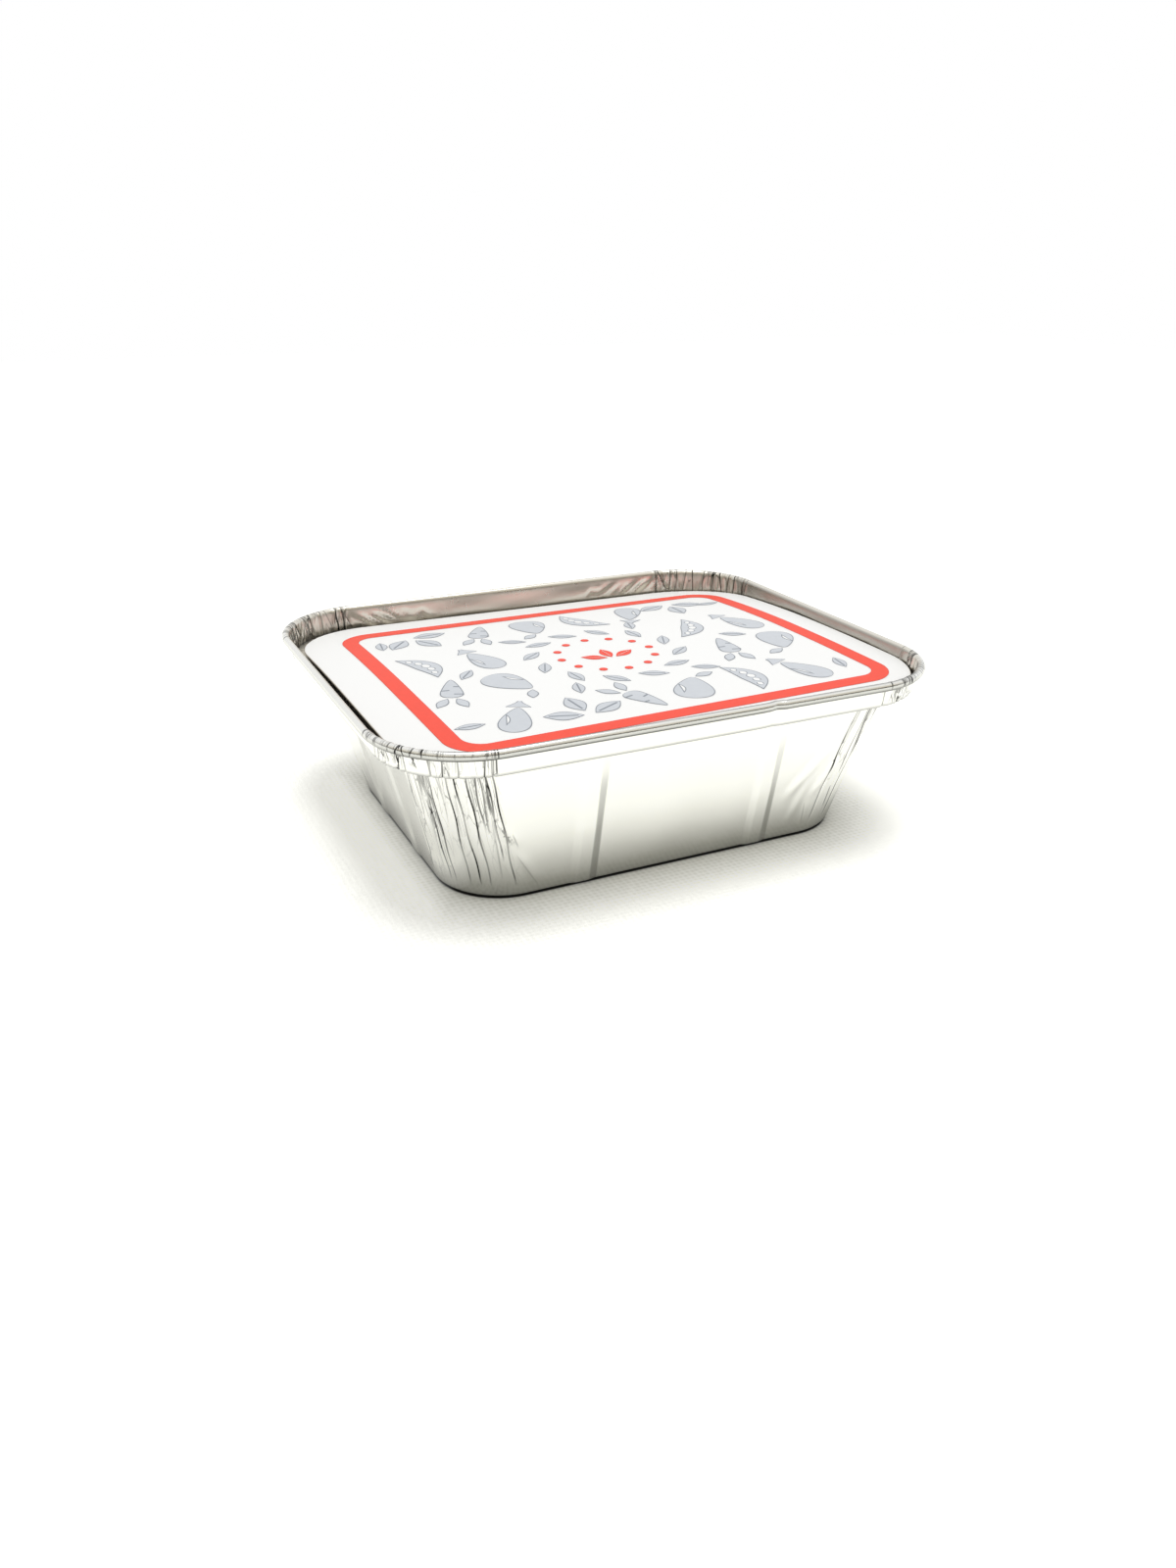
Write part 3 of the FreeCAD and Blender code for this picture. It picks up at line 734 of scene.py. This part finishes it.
def trefoil():
    """Three broad leaves from one point, each with its middle line."""
    patches = []
    for angle in (-68, 0, 68):
        for patch in (leaf(7.4, 4.0), spine(7.4, 0.4)):
            patches.append(turned(patch, angle, -angle / 60, -2.6 - abs(angle) / 40))
    return patches


def carrot():
    """Tapering root with two leaves above it and short marks on its side."""
    patches = [turned(root(9.6, 5.4), 0, 0, 2.6)]
    for angle in (-24, 24):
        patches.append(turned(leaf(5.0, 2.2), angle, -angle / 30, 3.1))
    for level, side in ((0.8, -1), (-1.2, 1), (-3.2, -1)):
        patches.append(white_line([(side * 0.4, level), (side * (2.1 + level / 5), level + 0.2)], 0.4))
    return patches


def fruit():
    """Pear with one leaf beside its stalk and a highlight down one side."""
    shine = turned(leaf(5.0, 0.9, 0.5, 1.0, 0.02), 12, -1.9, -3.8)
    return [turned(pear(11.0, 9.6), 0, 0, -0.8), shine, turned(leaf(4.4, 2.2), -52, 0.6, 5.3)]


def pod():
    """Bent pod with a row of peas showing."""
    patches = [turned(leaf(14.0, 5.0, 2.4), 0, -1.6, -7.0)]
    for number in range(-2, 3):
        x = -1.6 + 2.4 * math.cos(number * math.pi / 6.5)
        patches.append(spot(x, 2.1 * number, 0.95 - 0.12 * abs(number), 1.0, 0.02))
    return patches


def aubergine():
    """Long fruit with a pointed cap and a highlight."""
    line = np.array([[0, 4.7], [0, 5.3], [0, 6.0], [0, 6.8], [0, 7.6]])
    cap = blade(line, np.array([2.3, 1.9, 1.3, 0.7, 0.4]))
    shine = turned(leaf(5.4, 0.8, 0.4, 1.0, 0.02), 6, -1.4, -4.2)
    return [turned(pear(11.4, 7.4), 0, 0, -1.4), cap, shine]


MOTIFS = (trefoil, carrot, fruit, pod, aubergine)
MOTIF_PITCH = 15.6  # between motifs in a row
ROW_PITCH = 21.0
MOTIF_SCALE = 1.3  # of a motif against its drawing above
WREATH = 17.6  # radius of the ring of leaves
WREATH_LEAF = 8.0
STRAY_LEAF = 7.6
DOT_RING = 12.8  # radius of the ring of spots


def motif_patches():
    """Motifs in staggered rows inside the border, leaving the wreath's place free."""
    half_field = BORDER[0] - BORDER_LINE - MOTIF_PITCH / 2
    patches = []
    for row in (-1.5, -0.5, 0.5, 1.5):
        y = row * ROW_PITCH
        stagger = 0.5 if abs(row) > 1 else 0.0
        for place in range(-4, 5):
            x = (place + stagger) * MOTIF_PITCH
            if abs(x) > half_field or math.hypot(x, y) < WREATH + 11:
                continue
            kind = MOTIFS[(place + int(2 * row)) % len(MOTIFS)]
            angle = 30 * math.sin(2.1 * place + 1.3 * row) + (180 if row in (-0.5, 1.5) else 0)
            patches += [turned(patch, angle, x, y, MOTIF_SCALE) for patch in kind()]
    return patches


def veined_leaf(length, width, vein):
    """Leaf with a white line along its middle."""
    return [leaf(length, width), spine(length, vein)]


def stray_leaf_patches():
    """Single leaves where the rows leave gaps, in mirrored places with unlike turns."""
    places = (
        (3.25 * MOTIF_PITCH, 1.55 * ROW_PITCH),
        (1.15 * MOTIF_PITCH, 0.98 * ROW_PITCH),
        (2.5 * MOTIF_PITCH, 0.0),
    )
    patches = []
    for number, (x, y) in enumerate(places):
        for x_side in (-1, 1):
            for y_side in ((-1, 1) if y else (1,)):
                angle = 40 + 75 * number + 50 * x_side * y_side
                foot_x = x_side * x + math.sin(math.radians(angle)) * STRAY_LEAF / 2
                foot_y = y_side * y - math.cos(math.radians(angle)) * STRAY_LEAF / 2
                for patch in veined_leaf(STRAY_LEAF, 0.42 * STRAY_LEAF, 0.4):
                    patches.append(turned(patch, angle, foot_x, foot_y))
    return patches


def wreath_patches():
    """Ring of leaves round the middle, each leaning along the ring."""
    patches = []
    for number in range(12):
        around = 30 * number
        x = -WREATH * math.sin(math.radians(around))
        y = WREATH * math.cos(math.radians(around))
        for patch in veined_leaf(WREATH_LEAF, 0.42 * WREATH_LEAF, 0.35):
            patches.append(turned(patch, around + 66, x, y))
    return patches


def dot_patches():
    """Ring of spots inside the wreath."""
    turns = [math.pi * number / 6 for number in range(12)]
    return [spot(DOT_RING * math.sin(t), DOT_RING * math.cos(t), 1.1) for t in turns]


def sprig_patches():
    """Three leaves from one point in the middle of the ring."""
    patches = []
    for angle in (-62, 0, 62):
        for patch in veined_leaf(7.0, 3.2, 0.35):
            patches.append(turned(patch, angle, -angle / 50, -3.4))
    return patches


def border_patch():
    """Border line: the outline carried inwards by the line's width."""
    share = np.linspace(0, 1, 6)
    rings = []
    for part in share:
        ring = rounded_outline(BORDER - BORDER_LINE * part)
        rings.append(np.concatenate([ring, ring[:1]]))
    xy = np.array(rings)
    edge = (np.minimum(share, 1 - share) * BORDER_LINE)[:, None] + 0 * xy[..., 0]
    grid = np.concatenate([xy, np.full(xy.shape[:2] + (1,), INK)], -1)
    return grid[:, ::-1], 0 * edge, edge[:, ::-1]


# Materials

COLOUR_A, COLOUR_B, COLOUR_OUT = 6, 7, 2  # a mix node's sockets for colours
PLAIN_A, PLAIN_B = 2, 3  # and for plain numbers


def linear(hex_colour):
    """Linear colour from an sRGB hex value."""
    channels = [int(hex_colour[place:place + 2], 16) / 255 for place in (0, 2, 4)]
    values = [c / 12.92 if c <= 0.04045 else ((c + 0.055) / 1.055) ** 2.4 for c in channels]
    return (*values, 1.0)


def add_node(owner, kind, links=None, values=None, **settings):
    """Node of a material or world with its settings, plain input values and links.

    kind is the node's type without ShaderNode in front, and links are pairs of a node and its output.
    """
    tree = owner.node_tree
    node = tree.nodes.new("ShaderNode" + kind)
    for name, value in settings.items():
        setattr(node, name, value)
    for name, value in (values or {}).items():
        node.inputs[name].default_value = value
    for name, (source, output) in (links or {}).items():
        tree.links.new(source.outputs[output], node.inputs[name])
    return node


def new_material(name, **values):
    """Material with one Principled shader set to plain values."""
    material = bpy.data.materials.new(name)
    material.use_nodes = True
    shader = material.node_tree.nodes["Principled BSDF"]
    for title, value in values.items():
        shader.inputs[title.replace("_", " ")].default_value = value
    return material, shader


def join(material, source, output, target, name):
    """Link between two nodes."""
    material.node_tree.links.new(source.outputs[output], target.inputs[name])


# Half width in mm to which a painted shade line along a fold is black, and where it ends
FOLD_LINE = {"From Min": 0.12, "From Max": 0.26, "To Min": 1.0, "To Max": 0.0}
CREASE_CELLS = (0.66, 125.0, 1.0)  # a mm round the tray and a metre up: 1.5 mm wide and 8 mm tall
CLOUD = 0.00625  # metres, as are the next ones
ROLLING_LINES = 0.0004  # far finer in life
MOTTLE = 0.002


def pressed_foil():
    """Rolled aluminium foil: bright outside, satin inside, with painted shade where a fold closes on itself,
    along fine creases and where the shade attribute has it.
    """
    material, shader = new_material("rolled_aluminium_foil", Metallic=1.0)
    add = partial(add_node, material)
    place = add("TexCoord")
    shade, off, fold, satin, around, crinkle = (
        add("Attribute", attribute_name=name)
        for name in ("shade", "line_off", "line", "satin", "around", "crinkle"))
    # Painted shade in folds that close on themselves: a black line about 0.4 mm wide
    height = add("SeparateXYZ", {0: (place, "Object")})
    spot_place = add("CombineXYZ", {"X": (around, "Fac"), "Y": (height, "Z")})
    apart = add("Math", {0: (off, "Fac")}, operation="ABSOLUTE")
    narrow = add("MapRange", {"Value": (apart, 0)}, FOLD_LINE)
    closed = add("Math", {0: (narrow, 0), 1: (fold, "Fac")}, operation="MULTIPLY")
    # Painted shade in the fine creases of the crushed corners: edges of tall cells, bent by a slow noise
    cells = add("Mapping", {"Vector": (spot_place, 0)}, {"Scale": CREASE_CELLS})
    bend = add("TexNoise", {"Vector": (cells, 0)}, {"Scale": 0.8, "Detail": 2.0})
    bent = add("VectorMath", {0: (bend, "Color"), 2: (cells, 0)}, {1: (1.6, 0.5, 0.0)},
               operation="MULTIPLY_ADD")
    edges = add("TexVoronoi", {"Vector": (bent, 0)}, {"Scale": 1.0}, feature="DISTANCE_TO_EDGE",
                voronoi_dimensions="2D")
    line = add("MapRange", {"Value": (edges, "Distance")},
               {"From Min": 0.012, "From Max": 0.07, "To Min": 1.0, "To Max": 0.0})
    patches = add("TexNoise", {"Vector": (bent, 0)}, {"Scale": 0.55, "Detail": 1.0})
    some = add("MapRange", {"Value": (patches, "Fac")}, {"From Min": 0.46, "From Max": 0.6})
    here = add("Math", {0: (some, 0), 1: (crinkle, "Fac")}, operation="MULTIPLY")
    fine = add("Math", {0: (line, 0), 1: (here, 0)}, operation="MULTIPLY")
    dark = add("Math", {0: (fine, 0), 2: (closed, 0)}, {1: 0.55}, operation="MULTIPLY_ADD", use_clamp=True)
    dark = add("Math", {0: (dark, 0), 1: (shade, "Fac")}, operation="MAXIMUM")
    metal = add("Mix", {0: (satin, "Fac")}, {COLOUR_A: linear("F6F6F2"), COLOUR_B: linear("E6E2D8")},
                data_type="RGBA")
    # Painted shade: the fold lines, the crease lines and the shade attribute turn the metal towards near
    # black
    colour = add("Mix", {0: (dark, 0), COLOUR_A: (metal, COLOUR_OUT)}, {COLOUR_B: linear("161513")},
                 data_type="RGBA")
    join(material, colour, COLOUR_OUT, shader, "Base Color")
    # Clouding of the rolled surface
    cloud = add("TexNoise", {"Vector": (place, "Object")}, {"Scale": 1 / CLOUD, "Detail": 3.0})
    rough = add("Math", {0: (satin, "Fac")}, {1: 0.08, 2: 0.17}, operation="MULTIPLY_ADD")
    rough = add("Math", {0: (cloud, "Fac"), 2: (rough, 0)}, {1: 0.06}, operation="MULTIPLY_ADD")
    join(material, rough, 0, shader, "Roughness")
    # Rolling lines along the sheet
    stretch_lines = add("Mapping", {"Vector": (place, "Object")}, {"Scale": (0.06, 1.0, 1.0)})
    lines = add("TexNoise", {"Vector": (stretch_lines, 0)}, {"Scale": 1 / ROLLING_LINES, "Detail": 2.0})
    bump = add("Bump", {"Height": (lines, "Fac")}, {"Strength": 0.25, "Distance": 0.00002})
    join(material, bump, 0, shader, "Normal")
    return material


def coated_card():
    """Clay-coated board: smooth white face, grey-brown fibres where it is cut."""
    material, shader = new_material("clay_coated_board", Roughness=0.42)
    add = partial(add_node, material)
    place = add("TexCoord")
    cut = add("Attribute", attribute_name="cut")
    fibre = add("TexNoise", {"Vector": (place, "Object")}, {"Scale": 1800.0, "Detail": 4.0})
    edge = add("Mix", {0: (fibre, "Fac")}, {COLOUR_A: linear("A89C8C"), COLOUR_B: linear("CFC6B8")},
               data_type="RGBA")
    colour = add("Mix", {0: (cut, "Fac"), COLOUR_B: (edge, COLOUR_OUT)}, {COLOUR_A: linear("F7F7F5")},
                 data_type="RGBA")
    join(material, colour, COLOUR_OUT, shader, "Base Color")
    bump = add("Bump", {"Height": (fibre, "Fac")}, {"Strength": 0.12, "Distance": 0.00003})
    join(material, bump, 0, shader, "Normal")
    return material


def printed_ink(name, field, line, line_width):
    """Offset ink under thin varnish: a flat field, a darker line along its edge, white where left out."""
    material, shader = new_material(name, Roughness=0.45, Specular_IOR_Level=0.3)
    add = partial(add_node, material)
    place = add("TexCoord")
    to_edge = add("Attribute", attribute_name="to_edge")
    tone = add("Attribute", attribute_name="tone")
    # Slight mottling of the solid ink
    mottle = add("TexNoise", {"Vector": (place, "Object")}, {"Scale": 1 / MOTTLE, "Detail": 2.0})
    pale = tuple(min(1.0, 1.1 * value) for value in linear(field)[:3]) + (1.0,)
    ink = add("Mix", {0: (mottle, "Fac")}, {COLOUR_A: linear(field), COLOUR_B: pale}, data_type="RGBA")
    inside = add("Mix", {0: (tone, "Fac"), COLOUR_A: (ink, COLOUR_OUT)}, {COLOUR_B: linear("F7F7F5")},
                 data_type="RGBA")
    near = add("Math", {0: (to_edge, "Fac")}, {1: line_width}, operation="LESS_THAN")
    outline = add("Mix", {0: (near, 0), COLOUR_A: (inside, COLOUR_OUT)}, {COLOUR_B: linear(line)},
                  data_type="RGBA")
    join(material, outline, COLOUR_OUT, shader, "Base Color")
    return material


# The floor by metres out from the base's edge: a painted black contact shadow where the base touches down, a
# painted shadow beside it as the foil mirrors it, and the extra light of the bare floor in reflections and to
# the camera
CONTACT_SHADOW = {"From Min": -0.0003, "From Max": 0.0002}
SHADOW = {"From Min": -0.001, "From Max": 0.012, "To Min": 0.42}
MIRRORED_FLOOR = {"From Min": 0.003, "From Max": 0.019, "To Max": 0.5}
SEEN_FLOOR = {"From Min": 0.0, "From Max": 0.022, "To Max": 0.5}
# Painted light on the floor past the left end of the base, by metres to the right, and its extra glow
LEFT_PAINTED_LIGHT = {"From Min": 0.002 - BASE[0] * MM, "From Max": -0.006 - BASE[0] * MM}
LEFT_PAINTED_GLOW = 0.3


def floor_cloth():
    """Plain pale cloth: white to the camera and in reflections, darkened by shadow, part of it painted, and
    painted lighter left of the base.
    """
    material, shader = new_material("white_bonded_cloth", Roughness=0.9)
    add = partial(add_node, material)
    place = add("TexCoord")
    # Bonding dots of the cloth
    dots = add("TexVoronoi", {"Vector": (place, "Object")}, {"Scale": 720.0, "Randomness": 0.25})
    cloth = add("Mix", {0: (dots, "Distance")}, {COLOUR_A: linear("D0D0C5"), COLOUR_B: linear("F6F6F0")},
                data_type="RGBA")
    # Distance from the rounded outline of the container's base
    size = add("VectorMath", {0: (place, "Object")}, operation="ABSOLUTE")
    inner = ((BASE[0] - BASE[2]) * MM, (BASE[1] - BASE[2]) * MM, 0.0)
    past = add("VectorMath", {0: (size, 0)}, {1: inner}, operation="SUBTRACT")
    outside = add("VectorMath", {0: (past, 0)}, {1: (0.0, 0.0, 0.0)}, operation="MAXIMUM")
    reach = add("VectorMath", {0: (outside, 0)}, operation="LENGTH")
    away = add("Math", {0: (reach, "Value")}, {1: BASE[2] * MM}, operation="SUBTRACT")
    # Painted contact shadow: black where the base touches down
    contact = add("MapRange", {"Value": (away, 0)}, CONTACT_SHADOW)
    # Painted light: the floor is painted brighter to the left of the base
    sides = add("SeparateXYZ", {0: (place, "Object")})
    left = add("MapRange", {"Value": (sides, "X")}, LEFT_PAINTED_LIGHT)
    # Painted shadow: the floor beside the base is darker in reflections than the camera sees it
    light = add("LightPath")
    shadow = add("MapRange", {"Value": (away, 0)}, SHADOW)
    shadow = add("Math", {0: (shadow, 0), 1: (left, 0)}, operation="MAXIMUM")
    shadow = add("Mix", {0: (light, "Is Glossy Ray"), PLAIN_B: (shadow, 0)}, {PLAIN_A: 1.0})
    lit = add("Math", {0: (contact, 0), 1: (shadow, 0)}, operation="MULTIPLY")
    colour = add("Mix", {0: (lit, 0), COLOUR_B: (cloth, COLOUR_OUT)}, {COLOUR_A: linear("1A1916")},
                 data_type="RGBA")
    join(material, colour, COLOUR_OUT, shader, "Base Color")
    # The bare floor glows white about 2 cm away from the base; the glow fades to none at the base, so the
    # shadow there is partly real and partly painted
    mirrored = add("MapRange", {"Value": (away, 0)}, MIRRORED_FLOOR)
    seen = add("MapRange", {"Value": (away, 0)}, SEEN_FLOOR)
    left = add("Math", {0: (left, 0)}, {1: LEFT_PAINTED_GLOW}, operation="MULTIPLY")
    mirrored = add("Math", {0: (mirrored, 0), 1: (left, 0)}, operation="MAXIMUM")
    seen = add("Math", {0: (seen, 0), 1: (left, 0)}, operation="MAXIMUM")
    mirrored = add("Math", {0: (mirrored, 0), 1: (light, "Is Glossy Ray")}, operation="MULTIPLY")
    glow = add("Math", {0: (seen, 0), 1: (light, "Is Camera Ray"), 2: (mirrored, 0)},
               operation="MULTIPLY_ADD")
    shader.inputs["Emission Color"].default_value = (1.0, 1.0, 1.0, 1.0)
    join(material, glow, 0, shader, "Emission Strength")
    return material


# Stage, light and camera

FLOOR_HALF = 1.5
ROOM_LIGHT = 0.72  # of the room on everything that isn't bright metal
ROOM_STEPS = (  # the mirrored room's colour by height, as a share of straight up
    (0.1, "3A3A33"),
    (0.2, "8E887A"),
    (0.36, "D6CFC2"),
    (0.6, "DEDACF"),
    (0.92, "F4F4F2"),
)
CAMERA_AZIMUTH = math.radians(-25.8493)
CAMERA_ELEVATION = math.radians(23.9802)
CAMERA_ROLL = math.radians(0.3652)
CAMERA_DISTANCE = 0.3409
CAMERA_TARGET = Vector((0.00254, 0.0077, 0.0))
FOCAL_PIXELS = 1234.0
PHOTO_HEIGHT = 1600
SENSOR = 36.0
LAMP_PLACE = (0.05, 0.0, 0.82)
LAMP_SIZE = 0.4
LAMP_POWER = 2.3  # watts


def add_floor():
    """Plain pale floor under the container."""
    corners = [(x * FLOOR_HALF, y * FLOOR_HALF, 0) for x, y in ((-1, -1), (1, -1), (1, 1), (-1, 1))]
    mesh = bpy.data.meshes.new("floor")
    mesh.from_pydata(corners, [], [(0, 1, 2, 3)])
    floor = add_object("floor", mesh, floor_cloth())


def add_world():
    """White room above, dim room towards the camera's side, plain white to the camera itself."""
    world = bpy.data.worlds.new("room")
    bpy.context.scene.world = world
    world.use_nodes = True
    tree = world.node_tree
    add = partial(add_node, world)
    background = tree.nodes["Background"]
    direction = add("TexCoord")
    level = add("SeparateXYZ", {0: (direction, "Generated")})
    ramp = add("ValToRGB", {0: (level, "Z")})
    stops = ramp.color_ramp.elements
    stops[0].color = linear("1E1E1A")
    stops[1].color = linear("FFFFFF")
    for position, colour in ROOM_STEPS:
        stop = stops.new(position)
        stop.color = linear(colour)
    # Share of a direction that points to the photographer's side
    side = add("VectorMath", {0: (direction, "Generated")},
               {1: (math.sin(CAMERA_AZIMUTH), -math.cos(CAMERA_AZIMUTH), 0.0)}, operation="DOT_PRODUCT")
    near = add("MapRange", {"Value": (side, "Value")}, {"From Min": -0.35, "From Max": 0.3})
    room = add("Mix", {0: (near, 0), COLOUR_B: (ramp, 0)}, {COLOUR_A: linear("F4F4F4")}, data_type="RGBA")
    light = add("LightPath")
    mirrored = add("Mix", {0: (light, "Is Glossy Ray"), COLOUR_B: (room, COLOUR_OUT)},
                   {COLOUR_A: (ROOM_LIGHT, ROOM_LIGHT, ROOM_LIGHT, 1.0)}, data_type="RGBA")
    seen = add("Mix", {0: (light, "Is Camera Ray"), COLOUR_A: (mirrored, COLOUR_OUT)},
               {COLOUR_B: (1.0, 1.0, 1.0, 1.0)}, data_type="RGBA")
    tree.links.new(seen.outputs[COLOUR_OUT], background.inputs["Color"])
    background.inputs["Strength"].default_value = 1.0


def add_lamp(name, place, size, power):
    """Soft square lamp that faces the middle of the base."""
    data = bpy.data.lights.new(name, "AREA")
    data.size = size
    data.energy = power
    lamp = bpy.data.objects.new(name, data)
    lamp.location = place
    lamp.rotation_euler = Vector(place).to_track_quat("Z", "Y").to_euler()
    bpy.context.scene.collection.objects.link(lamp)


def add_camera():
    """Camera at the photograph's viewing angle, from its fitted azimuth, elevation, roll and distance."""
    level = math.cos(CAMERA_ELEVATION)
    sine, cosine = math.sin(CAMERA_AZIMUTH), math.cos(CAMERA_AZIMUTH)
    back = Vector((sine * level, -cosine * level, math.sin(CAMERA_ELEVATION)))
    right = (-back).cross(Vector((0, 0, 1))).normalized()
    up = right.cross(-back)
    c, s = math.cos(CAMERA_ROLL), math.sin(CAMERA_ROLL)
    right, up = right * c + up * s, up * c - right * s
    data = bpy.data.cameras.new("camera")
    data.sensor_width = SENSOR
    data.lens = FOCAL_PIXELS / PHOTO_HEIGHT * SENSOR
    data.clip_start = 0.01
    camera = bpy.data.objects.new("camera", data)
    turn = Matrix((right, up, back)).transposed().to_4x4()
    camera.matrix_world = Matrix.Translation(CAMERA_TARGET + back * CAMERA_DISTANCE) @ turn
    bpy.context.scene.collection.objects.link(camera)
    bpy.context.scene.camera = camera


def thicken(piece, thickness):
    """Gives a sheet of ink its thickness, downwards from its face."""
    solid = piece.modifiers.new("ink_layer", "SOLIDIFY")
    solid.thickness = thickness * MM
    solid.offset = -1


def dress():
    """Every piece of the visual model, each riding on the body and standing for its node."""
    foil = pressed_foil()
    card = coated_card()
    red = printed_ink("red_offset_ink", "F24A33", "DC3A28", 0.12)
    grey = printed_ink("blue_grey_offset_ink", "C9CDD2", "8A9098", 0.2)
    tray = add_object("foil_tray_sheet", foil_tray_mesh(), foil)
    lid = add_object("card_lid_board", card_mesh(), card)
    red_patches = [border_patch()] + dot_patches() + sprig_patches()
    border = add_object("red_print_ink", sheet_mesh("red_print_ink", red_patches), red)
    grey_patches = motif_patches() + stray_leaf_patches() + wreath_patches()
    motifs = add_object("grey_print_ink", sheet_mesh("grey_print_ink", grey_patches), grey)
    for ink in (border, motifs):
        thicken(ink, 0.8 * INK)
    stands_for = (
        (tray, "foil_tray", "foil", foil),
        (lid, "card_lid", "card", card),
        (border, "red_print", "red_ink", red),
        (motifs, "grey_print", "grey_ink", grey),
    )
    for piece, node, slot, material in stands_for:
        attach(piece, "root")
        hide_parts(node)
        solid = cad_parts[node].data
        solid.materials.clear()
        solid.materials.append(material)


scene = bpy.context.scene
scene.view_settings.view_transform = "Standard"
add_camera()
add_world()
add_floor()
add_lamp("ceiling_lamp", LAMP_PLACE, LAMP_SIZE, LAMP_POWER)
dress()
